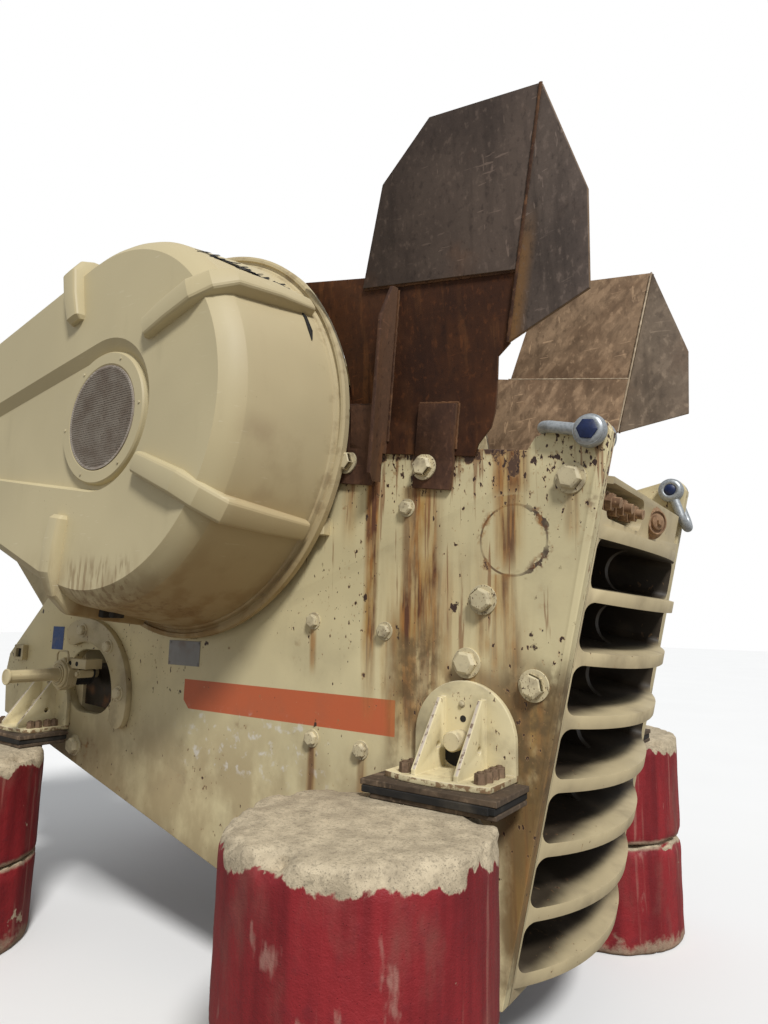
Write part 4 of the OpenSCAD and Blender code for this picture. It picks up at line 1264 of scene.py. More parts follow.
@dataclass
class FrontCasting:
    """The front casting with the webs in its pockets and the clamp bolts."""

    pocket: float = 0.2045
    front: float = -0.06
    back: float = -0.44
    web: Flat = (0.02, 0.07)
    scoop: float = 0.105
    scoop_angle: float = math.radians(76)
    ringed_at: Point = (2.352, 0.1, 2.404)
    ringed_way: Point = (0.86, -0.5, -0.1)
    ringed: Profile = ((0, -0.06), (0.086, -0.06), (0.086, 0.012), (0.07, 0.016), (0.07, 0.034),
                       (0.061, 0.038), (0.061, 0.047), (0.053, 0.047), (0.053, 0.039),
                       (0.038, 0.039), (0.038, 0.052), (0.028, 0.056), (0.0, 0.056))
    stud_y: tuple[float, ...] = (-0.56, -0.38, -0.2)
    stud_height: float = 2.0393
    stud: tuple[tuple[float, float, float, int], ...] = (
        (-0.08, 0.03, 0.023, 20), (-0.075, -0.03, 0.05, 6), (-0.028, -0.002, 0.04, 6))

    def build(self) -> None:
        """Builds casting, webs and bolts."""
        refine("front_frame", CASTING, 0.011, 3)
        self._webs()
        refine("jaw_clamp_bosses", CLAMP_RUST, 0.004)
        self._clamp_bolts()

    def _clamp_bolts(self) -> None:
        """The large ringed bolt, and the long studs with their nuts."""
        shape = Shape()
        spot, out = place(*self.ringed_at), Vector(self.ringed_way).normalized()
        shape.lathe(self.ringed, aim(spot, out))
        shape.rod(spot + out * 0.05, spot + out * 0.068, 0.017, sides=6)
        for y in self.stud_y:
            at = lean_frame(y)
            for start, end, radius, sides in self.stud:
                shape.rod(at @ Vector((start, 0, self.stud_height)),
                          at @ Vector((end, 0, self.stud_height)), radius, sides=sides)
        piece("front_clamp_bolts", shape, CLAMP_RUST, edge=0.002)

    def _webs(self) -> None:
        """A middle web in each pocket, hollowed to a half round at its front."""
        shape = Shape()
        half = self.pocket / 2 + 0.004
        for k in range(POCKETS):
            middle = POCKET_FIRST + (k + 0.5) * POCKET_PITCH
            arc = [(self.front - self.scoop * math.cos(a), middle + self.scoop * math.sin(a))
                   for a in (self.scoop_angle * (i / 8 - 1) for i in range(17))]
            outline = [(self.back, middle - half), (arc[0][0], middle - half), *arc,
                       (arc[-1][0], middle + half), (self.back, middle + half)]
            shape.slab(outline, *self.web, at=lean_frame())
        piece("pocket_webs", shape, CASTING, edge=0.008, segments=3)


@dataclass
class Chamber:
    """Jaws, cheek plates and pitman."""

    def build(self) -> None:
        """Builds the chamber's parts."""
        refine("fixed_jaw_die", JAW_STEEL, 0.006)
        refine("moving_jaw_die", JAW_STEEL, 0.006)
        refine("cheek_plates", WEAR_STEEL, 0.004)
        refine("pitman", BODY_PAINT, 0.012, 3)


@dataclass
class RearGear:
    """Rear casting, toggle, wedge, rod with its spring, and the adjusting cylinders."""

    rod_rear: Flat = (-2.18, 1.11)
    rod_front: Flat = (0.7, 0.62)
    ram: Flat = (-1.03, 1.51)
    turns: int = 9
    coil_r: float = 0.058
    coil_long: float = 0.57
    wire_r: float = 0.0125
    flange: Flat = (-1.0, 1.38)
    flange_r: float = 0.405
    hub: Profile = ((0.036, 0.0), (0.036, 0.02), (0.046, 0.02), (0.046, 0.012), (0.054, 0.012),
                    (0.054, 0.016), (0.063, 0.016), (0.063, 0.008), (0.07, 0.008), (0.07, 0.012),
                    (0.083, 0.01), (0.086, 0.0))
    end_ring: Profile = ((0.028, 0.0), (0.047, 0.0), (0.047, 0.006), (0.04, 0.008), (0.034, 0.004),
                         (0.028, 0.004))
    handle: tuple[Flat, ...] = ((-0.06, 0.07), (-0.066, 0.12), (-0.05, 0.142), (0.0, 0.145),
                                (0.05, 0.142), (0.062, 0.12), (0.06, 0.07))
    hinge: Flat = (0.21, 0.012)

    def build(self) -> None:
        """Builds the rear gear."""
        refine("rear_frame", BODY_PAINT, 0.012, 3)
        refine("toggle_plate", WORKED, 0.006)
        refine("adjusting_wedge", WEDGE, 0.004)
        refine("tension_rod", WORKED, 0.003)
        self._spring()
        refine("adjuster_flanges", GEAR_PAINT, 0.004)
        refine("adjuster_cylinders", GEAR_PAINT, 0.005)
        self._flange_bolts()
        self._cylinder_details()

    def _cylinder_details(self) -> None:
        """Ringed hub, hinge block, end ring and handle of each cylinder, with its bellows."""
        x, z = self.ram
        hinge_x, hinge_z = x + self.hinge[0], z + self.hinge[1]
        hub = Shape().lathe(self.hub, aim(place(x, -0.926, z), OUTWARDS))
        hub.peg(x, z, -0.922, -0.86, 0.106, sides=6, turn=12)
        hub.lathe(self.end_ring, aim(place(x, -1.256, z), OUTWARDS), 48)
        hub.peg(hinge_x, hinge_z, -0.93, -0.84, 0.024)
        hub.bolt(place(hinge_x, -0.93, hinge_z), OUTWARDS, 0.034, 10)
        loop = [place(x + dx, -0.915, z + dz) for dx, dz in self.handle]
        hub.sweep(loop, [(0.006, 0.006)] * len(loop), [OUTWARDS] * len(loop), 10)
        piece("adjuster_hubs", hub.mirrored(), GEAR_PAINT, edge=0.0, angle=40)
        ripple = [(0.063 + 0.013 * (k % 2), 0.012 * k) for k in range(12)]
        dark = Shape().lathe([(0, 0), *ripple, (0, 0.132)], aim(place(x, -0.715, z), OUTWARDS), 48)
        for dx in (0.07, 0.145):
            dark.peg(x + dx, z + 0.07, -0.9045, -0.906, 0.015, sides=24)
        piece("adjuster_bellows", dark.mirrored(), BLACK_RUBBER_AND_SHADE, edge=0.0, angle=50)

    def _spring(self) -> None:
        """The coil spring round the rod."""
        rear = place(self.rod_rear[0], 0, self.rod_rear[1])
        front = place(self.rod_front[0], 0, self.rod_front[1])
        along = (front - rear).normalized()
        at = aim(rear + along * 0.052, along)
        count = self.turns * 20
        path, out = [], []
        for i in range(count + 1):
            t = i / count
            a = 2 * math.pi * self.turns * t
            spin = Vector((math.cos(a), math.sin(a), 0))
            lift = Vector((0, 0, 0.014 + (self.coil_long - 0.028) * t))
            path.append(at @ (spin * self.coil_r + lift))
            out.append(at.to_3x3() @ spin)
        shape = Shape().sweep(path, [(self.wire_r, self.wire_r)] * len(path), out, 10)
        for end in (0.001, self.coil_long - 0.008):
            shape.lathe([(0.036, end), (0.07, end), (0.07, end + 0.007), (0.036, end + 0.007)], at, 40)
        piece("dressed_tension_spring", shape, SPRING, edge=0.0, instead=("tension_spring",))

    def _flange_bolts(self) -> None:
        """Bolts on the adjuster flanges."""
        shape = Shape()
        for angle in (5.0, 50.0, 95.0):
            x = self.flange[0] + self.flange_r * math.cos(math.radians(angle))
            z = self.flange[1] + self.flange_r * math.sin(math.radians(angle))
            shape.bolt(place(x, -0.79, z), OUTWARDS, 0.07, angle)
        piece("adjuster_bolts", shape.mirrored(), BOLT_PAINT, edge=0.002)


@dataclass
class BeltDrive:
    """Flywheels, shaft, bearings, belts, pulley, motor and its base."""

    motor: Flat = (-2.0, 3.045)
    body: Profile = ((0, 0), (0.2, 0), (0.236, 0.02), (0.24, 0.07), (0.262, 0.09), (0.262, 1.0),
                     (0.285, 1.02), (0.288, 1.12), (0.27, 1.168), (0.23, 1.178), (0.0, 1.178))
    cap: Profile = ((0, -0.06), (0.1, -0.06), (0.13, -0.02), (0.15, 0.01), (0, 0.01))
    body_r: float = 0.262
    fin_r: float = 0.298
    fins: int = 40
    screws: int = 12

    def build(self) -> None:
        """Builds the drive."""
        refine("eccentric_shaft", WORKED, 0.006)
        refine("bearing_housings", GEAR_PAINT, 0.008)
        refine("near_flywheel", GEAR_PAINT, 0.005)
        refine("far_flywheel", GEAR_PAINT, 0.005)
        refine("drive_belts", Rubber("belt_rubber", rib=0.0225), 0.002)
        refine("motor_pulley", BareSteel("pulley_steel", "jaw_steel", (0.16, 0.16, 0.155)), 0.004)
        refine("motor_base", GEAR_PAINT, 0.003)
        refine("motor_brackets", GEAR_PAINT, 0.004)
        self._motor()

    def _motor(self) -> None:
        """The finned motor with fan cover, terminal box and feet."""
        x, z = self.motor
        at = aim(place(x, -0.56, z), (0, 1, 0))
        shape = Shape().lathe(self.body, at, 72).lathe(self.cap, at, 40)
        shape.peg(x, z, -1.169, -0.6, 0.045)
        for k in range(self.fins):
            turn = Matrix.Rotation(2 * math.pi * k / self.fins, 4, "Z")
            shape.block((self.body_r - 0.01, -0.004, 0.1), (self.fin_r, 0.004, 0.99), at @ turn)
        for k in range(self.screws):
            a = 2 * math.pi * k / self.screws
            shape.bolt(at @ Vector((0.23 * math.cos(a), 0.23 * math.sin(a), 0.02)), OUTWARDS, 0.022)
        for y in (-0.42, 0.3):
            shape.crate((x - 0.31, y, 2.695), (x + 0.31, y + 0.12, 2.745))
            for dx in (-0.25, 0.25):
                shape.bolt(place(x + dx, y + 0.06, 2.745), (0, 0, 1), 0.06)
        shape.crate((x - 0.2, -0.42, 2.72), (x + 0.2, 0.42, 2.84))
        shape.crate((x - 0.13, -0.18, z + 0.24), (x + 0.13, 0.14, z + 0.42))
        shape.crate((x - 0.14, -0.19, z + 0.42), (x + 0.14, 0.15, z + 0.438))
        shape.rod(place(x + 0.12, -0.02, z + 0.33), place(x + 0.17, -0.02, z + 0.33), 0.03, sides=20)
        piece("dressed_motor", shape, Enamel("motor_enamel", "motor_paint", (0.1, 0.135, 0.165)),
              edge=0.0025, instead=("motor",))


@dataclass
class BeltGuard:
    """A moulded guard shell: flange, leaning wall, bevel and face, with pressed ribs.

    The pulley is the X and Z of the far end, counted from the shaft, and how much narrower it is.
    The pairs of outside and inside are the steps of an inset: its width, and how far it rises.
    """

    side: Side
    nodes: tuple[str, ...]
    pulley: Optional[Point]
    rim: float = 1.138
    rim_y: float = -0.8
    rim_thick: float = 0.034
    outside: tuple[Flat, ...] = (
        (0.012, 0.006), (0.014, 0.0), (0.004, -0.012), (0.016, 0.0), (0.008, 0.02), (0.01, 0.004),
        (0.0915, 0.498), (0.02, 0.035), (0.03, 0.035), (0.0365, 0.03))
    inside: tuple[Flat, ...] = ((0.08, 0.0), (0.091, -0.5), (0.1, -0.08))
    hollow: tuple[tuple[float, float, float, float, int], ...] = (
        (0, 0.02, -1.46, 0.42, 72), (-1.9, 0.02, -1.46, 0.11, 72), (0, -0.01, -1.412, 0.37, 72),
        (-1.9, -0.01, -1.412, 0.07, 72))
    ring: Profile = ((GRILLE_R, 0.0), (GRILLE_R, 0.04), (0.288, 0.045), (0.345, 0.044),
                     (0.352, 0.036), (0.36, 0.0))
    rib_sizes: tuple[Flat, ...] = ((0.046, 0.03), (0.056, 0.052), (0.06, 0.056), (0.064, 0.058),
                                   (0.066, 0.06), (0.064, 0.06), (0.058, 0.054), (0.05, 0.036))
    face_y: float = -1.45
    bevel: float = 0.11
    wall_r: float = 1.08
    wall_y: float = -0.84
    wall_lean: float = 0.19
    screw_ring: float = 0.322
    flakes: int = 44
    flake_start: Flat = (-1.33, 55.5)
    flake_step: Flat = (0.0095, -0.33)
    tear: tuple[Flat, ...] = ((34.0, -0.935), (29.6, -0.92), (25.0, -0.925), (21.2, -0.938))
    ribs: tuple[tuple[Point, ...], ...] = (
        ((0.35, 0.385, -1.448), (0.52, 0.443, -1.452), (0.69, 0.498, -1.448),
         (0.775, 0.53, -1.405), (0.83, 0.556, -1.34), (0.87, 0.585, -1.1), (0.9, 0.606, -0.87)),
        ((0.36, -0.28, -1.448), (0.53, -0.352, -1.452), (0.68, -0.416, -1.448),
         (0.775, -0.476, -1.405), (0.845, -0.528, -1.34), (0.885, -0.553, -1.1),
         (0.922, -0.574, -0.87)),
        ((-0.258, -0.5, -1.448), (-0.28, -0.65, -1.452), (-0.298, -0.79, -1.448),
         (-0.303, -0.89, -1.405), (-0.306, -0.955, -1.34), (-0.318, -0.99, -1.1),
         (-0.33, -1.03, -0.87)),
        ((-0.275, 0.58, -1.448), (-0.31, 0.73, -1.455), (-0.338, 0.86, -1.452),
         (-0.36, 0.91, -1.405), (-0.385, 0.945, -1.34), (-0.4, 0.975, -1.1),
         (-0.42, 1.0, -0.87)),
    )

    def build(self) -> None:
        """Builds the shell, its ribs and what sits on it."""
        shell = self._shell()
        shell.carve(Shape().peg(0, SHAFT_Z, -1.2, -1.6, GRILLE_R, sides=96))
        if self.pulley:
            shell.carve(Shape().hull(self.hollow))
        shell.lathe(self.ring, aim(place(0, -1.398, SHAFT_Z), OUTWARDS), 96)
        sided(self.side, "guard_shell", shell, GUARD, 0.007, 3, 17.0, self.nodes)
        for number, line in enumerate(self.ribs):
            sided(self.side, f"guard_rib_{number + 1}", self._rib(line), GUARD, 0.0, angle=17.0)
        screws = Shape()
        for k in range(6):
            a = math.radians(5 + 60 * k)
            x, z = self.screw_ring * math.cos(a), SHAFT_Z + self.screw_ring * math.sin(a)
            screws.bolt(place(x, -1.441, z), OUTWARDS, 0.015, 10 * k)
        sided(self.side, "guard_screws", screws, BOLT_PAINT, 0.001, angle=17.0)
        if self.pulley:
            self._damage()

    def _damage(self) -> None:
        """Torn flakes along the top of the wall, the tear in it as a black strip of painted shade, and
        two rubber buffers.
        """
        torn, rng = Shape(), random.Random(21)
        for k in range(self.flakes):
            y = self.flake_start[0] + self.flake_step[0] * k
            r = self._wall_r(y) + 0.001
            turn = self.flake_start[1] + self.flake_step[1] * k
            a = math.radians(turn + rng.uniform(-1.6, 1.6))
            radial = (math.cos(a), 0, math.sin(a))
            at = aim(place(r * radial[0], y, SHAFT_Z + r * radial[2]), radial)
            lie = at.to_3x3().inverted() @ Vector((0, 1, 0))
            at = at @ Matrix.Rotation(math.atan2(lie.y, lie.x) + rng.uniform(-0.6, 0.6), 4, "Z")
            at = at @ Matrix.Rotation(-math.radians(rng.uniform(1, 11)), 4, "Y")
            long, wide = rng.uniform(0.02, 0.085), rng.uniform(0.003, 0.009)
            torn.slab([(-0.03, -0.003), (long, rng.uniform(0.002, 0.01)), (long * 0.4, 0.004)],
                      -wide, wide, at)
        edge = []
        for angle, y in self.tear:
            a, r = math.radians(angle), self._wall_r(y)
            edge.append(place(math.cos(a) * r, y, SHAFT_Z + math.sin(a) * r))
        # The tear is a black strip laid on the wall: painted shade of the slit.
        torn.sweep(edge, [(0.003, 0.004), (0.013, 0.006), (0.017, 0.006), (0.003, 0.004)],
                   [Vector((0.88, 0, 0.47))] * 4, 8)
        piece("guard_torn_edge", torn, TORN, edge=0.0)
        buffers = Shape()
        for x in (-0.17, -0.075):
            at = Matrix.Translation(place(x, -1.2, 1.905)) @ Matrix.Rotation(0.15, 4, "Y")
            buffers.block((-0.02, -0.035, -0.03), (0.02, 0.035, 0.032), at)
        piece("guard_buffers", buffers, Rubber("buffer_rubber"), edge=0.006)

    def _wall_r(self, y: float) -> float:
        """Radius of the leaning wall at a depth."""
        return self.wall_r - self.wall_lean * (self.wall_y - y)

    def _shell(self) -> Shape:
        """The shell: stages of insets from the flange outwards, and its hollow from behind."""
        ends = [(0.0, 0.0, self.rim, 144)]
        if self.pulley:
            ends.append((*self.pulley[:2], self.rim - self.pulley[2], 96))
        shape = Shape().hull((x, z, y, radius, sides) for x, z, radius, sides in ends
                             for y in (self.rim_y, self.rim_y - self.rim_thick))
        outer = min(shape.bm.faces, key=lambda face: face.normal.y)
        inner = max(shape.bm.faces, key=lambda face: face.normal.y)
        for face, stages in ((outer, self.outside), (inner, self.inside)):
            for thick, out in stages:
                bmesh.ops.inset_region(shape.bm, faces=[face], thickness=thick, depth=out,
                                       use_boundary=True, use_even_offset=True)
        return shape

    def _rib(self, line: Sequence[Point]) -> Shape:
        """A pressed rib over the face, round the bevel and down the wall."""
        path, out = [], []
        for x, z, y in line:
            path.append(place(x, y, SHAFT_Z + z))
            reach = math.hypot(x, z)
            turn = max(0.0, min(1.0, (y - self.face_y) / self.bevel))
            out.append(Vector((x / reach * turn, -(1 - turn) - 0.15 * turn, z / reach * turn)))
        path.insert(1, path[0].lerp(path[1], 0.14))
        out.insert(1, out[0])
        return Shape().sweep(path, self.rib_sizes, out, 20, 0.45)


@dataclass
class GuardGrilles:
    """Slatted grilles in the faces of both guards, and the brackets behind them."""

    radius: float = GRILLE_R
    pitch: float = 0.0125

    def build(self) -> None:
        """Builds both grilles and the brackets behind the guards."""
        shape = Shape()
        count = int(2 * self.radius / self.pitch) - 1
        for k in range(count):
            z = (k - (count - 1) / 2) * self.pitch
            half = math.sqrt((self.radius - 0.004) ** 2 - z * z)
            tilt = Matrix.Translation(place(0, -1.441, SHAFT_Z + z)) @ Matrix.Rotation(0.5, 4, "X")
            shape.block((-half, -0.003, -0.0044), (half, 0.003, 0.0044), tilt)
        for x in (-0.14, 0.0, 0.14):
            half = math.sqrt(self.radius ** 2 - x * x) - 0.004
            shape.crate((x - 0.003, -1.437, SHAFT_Z - half), (x + 0.003, -1.431, SHAFT_Z + half))
        at = aim(place(0, -1.431, SHAFT_Z), OUTWARDS)
        shape.lathe([(0.266, 0.0), (0.278, 0.0), (0.278, 0.013), (0.266, 0.013)], at, 96)
        piece("dressed_grilles", shape.mirrored(), GrilleWire(), edge=0.0, instead=("guard_grilles",))
        refine("guard_brackets", GEAR_PAINT, 0.004)


@dataclass
class FeedChute:
    """The leaning chute plates with their welds and bolts."""

    bolts: Places = ((1.565, 2.599), (1.11, 2.676))
    bars: Flat = (-0.44, -0.875)
    wall_lean: float = math.radians(6.3)
    lap: float = CHUTE_LAP
    bar_half: float = 0.104
    bar_top: float = 0.239
    seams: tuple[Seam, ...] = (
        (FOLD_FOOT, (FOLD_FOOT[0] + FOLD_LEAN * 1.093, 1.584), -0.033),
        ((-0.1, 0.803), (-0.93, 0.817), -0.017), ((-0.744, 0.06), (-0.744, 0.79), -0.017),
        ((-0.716, 0.06), (-0.716, 0.79), -0.017))
    inner_seams: tuple[Seam, ...] = (
        ((-0.095, 0.846), (-0.93, 0.878), -0.002),
        (FOLD_FOOT, (FOLD_FOOT[0] + FOLD_LEAN * 1.09, 1.58), 0.0))

    def build(self) -> None:
        """Builds both sides of the chute."""
        finishes = {"wall": (NEAR_WALL, FAR_CHUTE), "wing": (NEAR_WING, FAR_CHUTE),
                    "front_wing": (NEAR_FOLD, FAR_FOLD), "bars": (NEAR_BARS, FAR_CHUTE)}
        for part, (near, far) in finishes.items():
            refine(f"near_chute_{part}", near, 0.002)
            refine(f"far_chute_{part}", far, 0.002)
        for side in Side:
            self._bolts(side)
            self._welds(side)
        self._inner_seams()

    def _inner_seams(self) -> None:
        """Pale beads on the inner face of the far chute, under the wing and along the fold; their pale
        colour is a painted highlight of those edges.
        """
        shape = Shape()
        sizes = [(0.005 + 0.0012 * math.sin(k * 1.9), 0.004) for k in range(61)]
        for seam in self.inner_seams:
            self._bead(shape, seam, sizes, [0.0] * len(sizes), 1)
        piece("far_inner_highlight_seams", shape.flip(), SEAM_HIGHLIGHT, edge=0.0)

    def _bead(self, shape: Shape, seam: Seam, sizes: Sequence[Flat], shake: Sequence[float],
              out: int) -> None:
        """Lays one weld bead.

        Args:
            shape: The shape that it is added to.
            seam: Where it runs.
            sizes: Half width and half height at each of its points.
            shake: How far each point is off the line.
            out: Sign of the Y that the bead stands out to.
        """
        (u0, v0), (u1, v1), y = seam
        at, last = self._frame(), len(sizes) - 1
        path = [at @ Vector((u0 + (u1 - u0) * k / last, y + shake[k], v0 + (v1 - v0) * k / last))
                for k in range(last + 1)]
        shape.sweep(path, sizes, [at.to_3x3() @ Vector((0, out, 0))] * len(path), 8)

    def _frame(self) -> Matrix:
        """The frame of the near chute wall: X along the plate top, Z up the leaning wall."""
        lap = Matrix.Translation((0, 0, self.lap)) @ Matrix.Rotation(self.wall_lean, 4, "X")
        corner = place(PLATE_TOP[0], -PLATE_Y, PLATE_TOP[1])
        return Matrix.Translation(corner) @ Matrix.Rotation(TOP_SLOPE, 4, "Y") @ lap

    def _welds(self, side: Side) -> None:
        """Weld beads along the fold, under the wing, and beside the stiffener and the bars."""
        shape, rng = Shape(), random.Random(8)
        seams = list(self.seams)
        for u in self.bars:
            left, right, top = u - self.bar_half, u + self.bar_half, self.bar_top
            seams += [((left, 0.03), (left, top - 0.002), -0.018),
                      ((right, 0.03), (right, top - 0.002), -0.018),
                      ((left, top), (right, top), -0.018)]
        for seam in seams:
            count = max(4, int(math.dist(seam[0], seam[1]) / 0.012))
            shake = [rng.uniform(-0.001, 0.001) for _ in range(count + 1)]
            sizes = [(rng.uniform(0.0055, 0.009), rng.uniform(0.004, 0.006)) for _ in shake]
            self._bead(shape, seam, sizes, shake, -1)
        sided(side, "chute_welds", shape, WELD, 0.0)

    def _bolts(self, side: Side) -> None:
        """Large bolts through the fixing bars."""
        shape = Shape()
        for x, z in self.bolts:
            shape.bolt(place(x, -0.775, z), OUTWARDS, 0.096, 17)
        sided(side, "bar_bolts", shape, BOLT_PAINT, 0.002)


@dataclass
class Feet:
    """Bolted feet on pads of steel and rubber."""

    feet: tuple[Flat, Flat] = (FRONT_FOOT, REAR_FOOT)
    stub: Profile = ((0, 0), (0.041, 0), (0.041, 0.084), (0.036, 0.09), (0, 0.09))
    nuts: tuple[Flat, ...] = ((-0.15, -0.99), (-0.148, -0.942), (0.182, -0.982), (0.188, -0.936),
                              (0.184, -0.874), (0.188, -0.83))
    pad_y: float = -0.94

    def build(self) -> None:
        """Builds the feet, their bolts and the pads."""
        for node, (x, z) in zip(("front_feet", "rear_feet"), self.feet):
            holes = Shape().rod(place(x - 0.13, -0.838, z + 0.115), place(x + 0.13, -0.838, z + 0.115),
                                0.016, sides=24)
            refine(node, FOOT_PAINT, 0.004, cut=holes.mirrored())
        self._pads()
        shape, nuts, dark = Shape(), Shape(), Shape()
        for x, z in self.feet:
            shape.lathe(self.stub, aim(place(x - 0.01, -0.775, z + 0.14), OUTWARDS), 48)
            shape.bolt(place(x - 0.005, -0.78, z + 0.284), OUTWARDS, 0.024, 14)
            # Dark discs: the large one is painted shadow of the stub together with the dark opening under
            # it, the small one is painted shade in a hole.
            dark.peg(x - 0.033, z + 0.095, -0.775, -0.7815, 0.066)
            dark.peg(x, z + 0.224, -0.775, -0.781, 0.014, sides=24)
            for dx, y in self.nuts:
                nuts.rod(place(x + dx, y, z + 0.022), place(x + dx, y, z + 0.064), 0.026, 0.024, 6,
                         2000 * dx)
                nuts.rod(place(x + dx, y, z + 0.05), place(x + dx, y, z + 0.07), 0.013, sides=16)
        piece("foot_bolts", shape.mirrored(), BOLT_PAINT, edge=0.0, angle=40)
        piece("foot_shade_discs", dark.mirrored(), BLACK_RUBBER_AND_SHADE, edge=0.0)
        piece("foot_nuts", nuts.mirrored(), RUSTY_BOLT, edge=0.0015)

    def _pads(self) -> None:
        """Stacks of steel plates and rubber sheets under the feet."""
        rubber, plates = Shape(), Shape()
        for number, (x, z) in enumerate(self.feet):
            straight = Matrix.Translation(place(x, self.pad_y, 0))
            turn = straight @ Matrix.Rotation(math.radians(1.2 - 2.6 * number), 4, "Z")
            plates.block((-0.296, -0.155, z - 0.023), (0.296, 0.155, z), turn)
            rubber.block((-0.285, -0.16, z - 0.052), (0.27, 0.148, z - 0.023), straight)
            rubber.block((-0.29, -0.155, z - 0.051), (0.288, 0.152, z - 0.024), turn)
            plates.block((-0.25, -0.15, z - 0.07), (0.292, 0.14, z - 0.0515), turn)
        piece("pad_plates", plates.mirrored(), PAD_STEEL, edge=0.004, instead=("foot_pads",))
        piece("pad_rubber", rubber.mirrored(), Rubber("pad_rubber"), edge=0.004)


@dataclass
class Drums:
    """Cast concrete drums, chipped at their rims."""

    radius: float = 0.49
    centres: tuple[Flat, ...] = ((1.67, 1.35), (-1.35, 1.35))
    tops: tuple[float, ...] = DRUM_TOPS
    height: float = DRUM_HEIGHT
    gap: float = 0.004

    def build(self) -> None:
        """Builds the upper and the lower drums."""
        upper, lower = Shape(), Shape()
        for (x, y), top in zip(self.centres, self.tops):
            for sign in (-1, 1):
                joint = top - self.height
                self._drum(upper, (x, sign * y), joint + self.gap / 2, top)
                self._drum(lower, (x, sign * y), 0.0, joint - self.gap / 2)
        piece("dressed_upper_drums", upper, DrumPaint(), edge=0.0, angle=50, instead=("upper_drums",))
        piece("dressed_lower_drums", lower, DrumPaint(), edge=0.0, angle=50, instead=("lower_drums",))

    def _drum(self, shape: Shape, at: Flat, low: float, high: float) -> None:
        """One drum, turned and then roughened."""
        r = self.radius
        wall = [(r, low + 0.02 + (high - low - 0.04) * i / 22) for i in range(23)]
        top = [(r * (1 - i / 9), high) for i in range(1, 9)]
        profile = [(0, low), (r * 0.5, low), (r - 0.02, low), (r - 0.006, low + 0.006), *wall,
                   (r - 0.005, high - 0.006), (r - 0.018, high), *top, (0, high)]
        centre = place(at[0], at[1], 0)
        one = Shape().lathe(profile, Matrix.Translation(centre), 120)
        self._roughen(one, centre, low, high)
        made = bpy.data.meshes.new("drum")
        one.tidy().bm.to_mesh(made)
        one.bm.free()
        shape.bm.from_mesh(made)

    def _roughen(self, shape: Shape, centre: Vector, low: float, high: float) -> None:
        """Breaks the rim and the foot of a drum, and pits its wall and its top.

        Args:
            shape: The drum.
            centre: A point on its axis.
            low: Height of its foot.
            high: Height of its rim.
        """
        for vert in shape.bm.verts:
            p = vert.co.copy()
            flat = Vector((p.x - centre.x, p.y - centre.y, 0))
            if flat.length < 1e-4:
                continue
            lump = noise.noise(p * 3.1) * 0.5 + noise.noise(p * 11.0) * 0.35
            rim = max(0.0, 1 - (high - p.z) / 0.075)
            rim *= max(0.0, 1 - (self.radius - flat.length) / 0.09)
            foot = max(0.0, 1 - (p.z - low) / 0.05)
            bite = max(0.0, noise.noise(p * 6.0 + Vector((7, 3, 1))) + 0.12)
            bite += max(0.0, noise.noise(p * 19.0)) * 0.5
            pull = 0.004 + 0.006 * max(0.0, lump + 0.3) + 0.075 * rim * bite + 0.03 * foot * bite
            vert.co -= flat.normalized() * min(pull, flat.length * 0.4)
            if p.z > high - 0.03:
                vert.co.z -= 0.05 * rim * bite + 0.005 * max(0.0, lump + 0.4) * (flat.length > 0.1)


@dataclass
class Shackles:
    """The two lifting shackles with their forged eyes and their pins."""

    pin: Flat = (2.341, 2.66)
    pin_half: float = 0.09
    pin_r: float = 0.0284
    lug_y: float = 0.72
    eye: Profile = ((0.0292, 0.036), (0.056, 0.036), (0.063, 0.041), (0.0675, 0.051),
                    (0.0685, 0.065), (0.0665, 0.079), (0.06, 0.09), (0.05, 0.0965), (0.04, 0.098))
    dome: Profile = ((0, 0.08), (0.031, 0.08), (0.031, 0.096), (0.024, 0.101), (0.012, 0.104),
                     (0, 0.105))

    def build(self) -> None:
        """Builds bows and pins."""
        self._shackle(Side.NEAR, Body.NEAR_SHACKLE)
        self._shackle(Side.FAR, Body.FAR_SHACKLE)

    def _shackle(self, side: Side, body: Body) -> None:
        """One shackle: the eyes bulge over the ends of its arms, and the pin has capped ends."""
        name = side.name.lower()
        middle = side.value * self.lug_y
        hole = 0.029 if side is Side.NEAR else 0.033
        eyes, pin = Shape(), Shape()
        pin.peg(*self.pin, middle - self.pin_half, middle + self.pin_half, self.pin_r)
        for way in (-1, 1):
            at = aim(place(self.pin[0], middle, self.pin[1]), (0, way, 0))
            eyes.lathe((*self.eye, (hole, 0.094), (0.0292, 0.088)), at, 64)
            if side is Side.NEAR:
                pin.rod(at @ Vector((0, 0, 0.088)), at @ Vector((0, 0, 0.106)), 0.043, sides=6, turn=20)
                pin.rod(at @ Vector((0, 0, 0.106)), at @ Vector((0, 0, 0.115)), 0.043, 0.02, 6, 20)
            else:
                pin.lathe(self.dome, at, 40)
        refine(f"{name}_shackle_bow", Zinc(), 0.0, body=body, angle=40, extra=eyes)
        blue = Enamel("pin_enamel", "pin_paint", (0.003, 0.013, 0.065), 0.15)
        piece(f"dressed_{name}_pin", pin, blue, body, 0.0015, instead=(f"{name}_shackle_pin",))


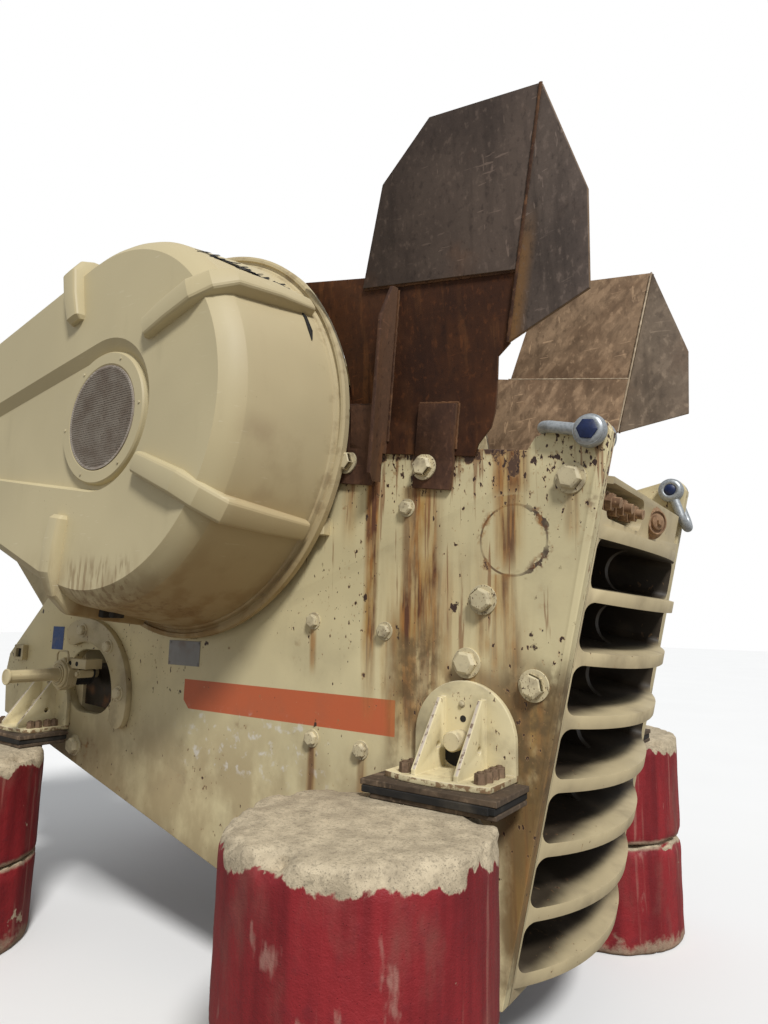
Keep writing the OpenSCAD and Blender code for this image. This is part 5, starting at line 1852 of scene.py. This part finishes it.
@dataclass
class Studio:
    """Camera, lamps, floor and white background."""

    lens: float = 23.893
    pitch: float = 8.948
    heading: float = 34.778
    roll: float = 1.268
    stand: Point = (3.17, -3.404, 1.90)
    sun_power: float = 3.1
    sun_spread: float = math.radians(11)
    sun_from: Point = (0.75, -0.6, 1.0)
    sky: Colour = (0.93, 0.96, 1.0)
    sky_power: float = 0.5
    floor_size: float = 60.0

    def camera(self) -> None:
        """Sets the photograph's camera."""
        psi, p, roll = (math.radians(a) for a in (self.heading, self.pitch, self.roll))
        flat = Vector((-math.sin(psi), math.cos(psi), 0))
        right, up = Vector((math.cos(psi), math.sin(psi), 0)), Vector((0, 0, 1))
        ahead = flat * math.cos(p) + up * math.sin(p)
        top = up * math.cos(p) - flat * math.sin(p)
        r = right * math.cos(roll) + top * math.sin(roll)
        u = top * math.cos(roll) - right * math.sin(roll)
        data = bpy.data.cameras.new("photo_camera")
        data.lens, data.sensor_width, data.sensor_fit = self.lens, 36.0, "AUTO"
        camera = bpy.data.objects.new("photo_camera", data)
        camera.matrix_world = Matrix.Translation(place(*self.stand)) @ Matrix(
            (r, u, -ahead)).transposed().to_4x4()
        bpy.context.scene.collection.objects.link(camera)
        bpy.context.scene.camera = camera

    def light(self) -> None:
        """Sets a soft sun, the sky fill, the floor and the background."""
        sun = bpy.data.lights.new("soft_sun", "SUN")
        sun.energy, sun.angle = self.sun_power, self.sun_spread
        lamp = bpy.data.objects.new("soft_sun", sun)
        lamp.rotation_mode = "QUATERNION"
        lamp.rotation_quaternion = Vector(self.sun_from).to_track_quat("Z", "Y")
        bpy.context.scene.collection.objects.link(lamp)
        world = bpy.data.worlds.new("studio")
        world.use_nodes = True
        nodes, links = world.node_tree.nodes, world.node_tree.links
        nodes.clear()
        path, fill = nodes.new("ShaderNodeLightPath"), nodes.new("ShaderNodeBackground")
        seen, both = nodes.new("ShaderNodeBackground"), nodes.new("ShaderNodeMixShader")
        end = nodes.new("ShaderNodeOutputWorld")
        fill.inputs["Color"].default_value = (*self.sky, 1.0)
        fill.inputs["Strength"].default_value = self.sky_power
        seen.inputs["Color"].default_value = (1.0, 1.0, 1.0, 1.0)
        links.new(path.outputs["Is Camera Ray"], both.inputs[0])
        links.new(fill.outputs[0], both.inputs[1])
        links.new(seen.outputs[0], both.inputs[2])
        links.new(both.outputs[0], end.inputs[0])
        bpy.context.scene.world = world
        bpy.context.scene.view_settings.view_transform = "Standard"

    def floor(self) -> None:
        """Lays the plain pale floor."""
        shape = Shape()
        bmesh.ops.create_grid(shape.bm, x_segments=1, y_segments=1, size=self.floor_size)
        ground = loose(shape.bm, "studio_floor")
        shade = Shade("studio_floor")
        seen = shade.node("ShaderNodeLightPath", {}, {}, "Is Camera Ray")
        pale = shade.mix(shade.noise(0.6, 2.0), (0.8, 0.795, 0.78), (0.84, 0.835, 0.82))
        shade.start(seen, (0.26, 0.24, 0.21), pale)
        ground.data.materials.append(shade.finish(0.9))


def main() -> None:
    """Builds the sub-assemblies in order."""
    studio = Studio()
    studio.camera()
    studio.light()
    studio.floor()
    parts = [SidePlates(), FrontCasting(), Chamber(), RearGear(), BeltDrive(),
             BeltGuard(Side.NEAR, ("drive_guard",), (-2.0, 0.14, 0.58)),
             BeltGuard(Side.FAR, ("far_guard",), None), GuardGrilles(), FeedChute(), Feet(),
             Drums(), Shackles()]
    for part in parts:
        part.build()
        log.info("%s is built", type(part).__name__)


if __name__ == "__main__":
    logging.basicConfig(level=logging.INFO, format="%(message)s")
    main()
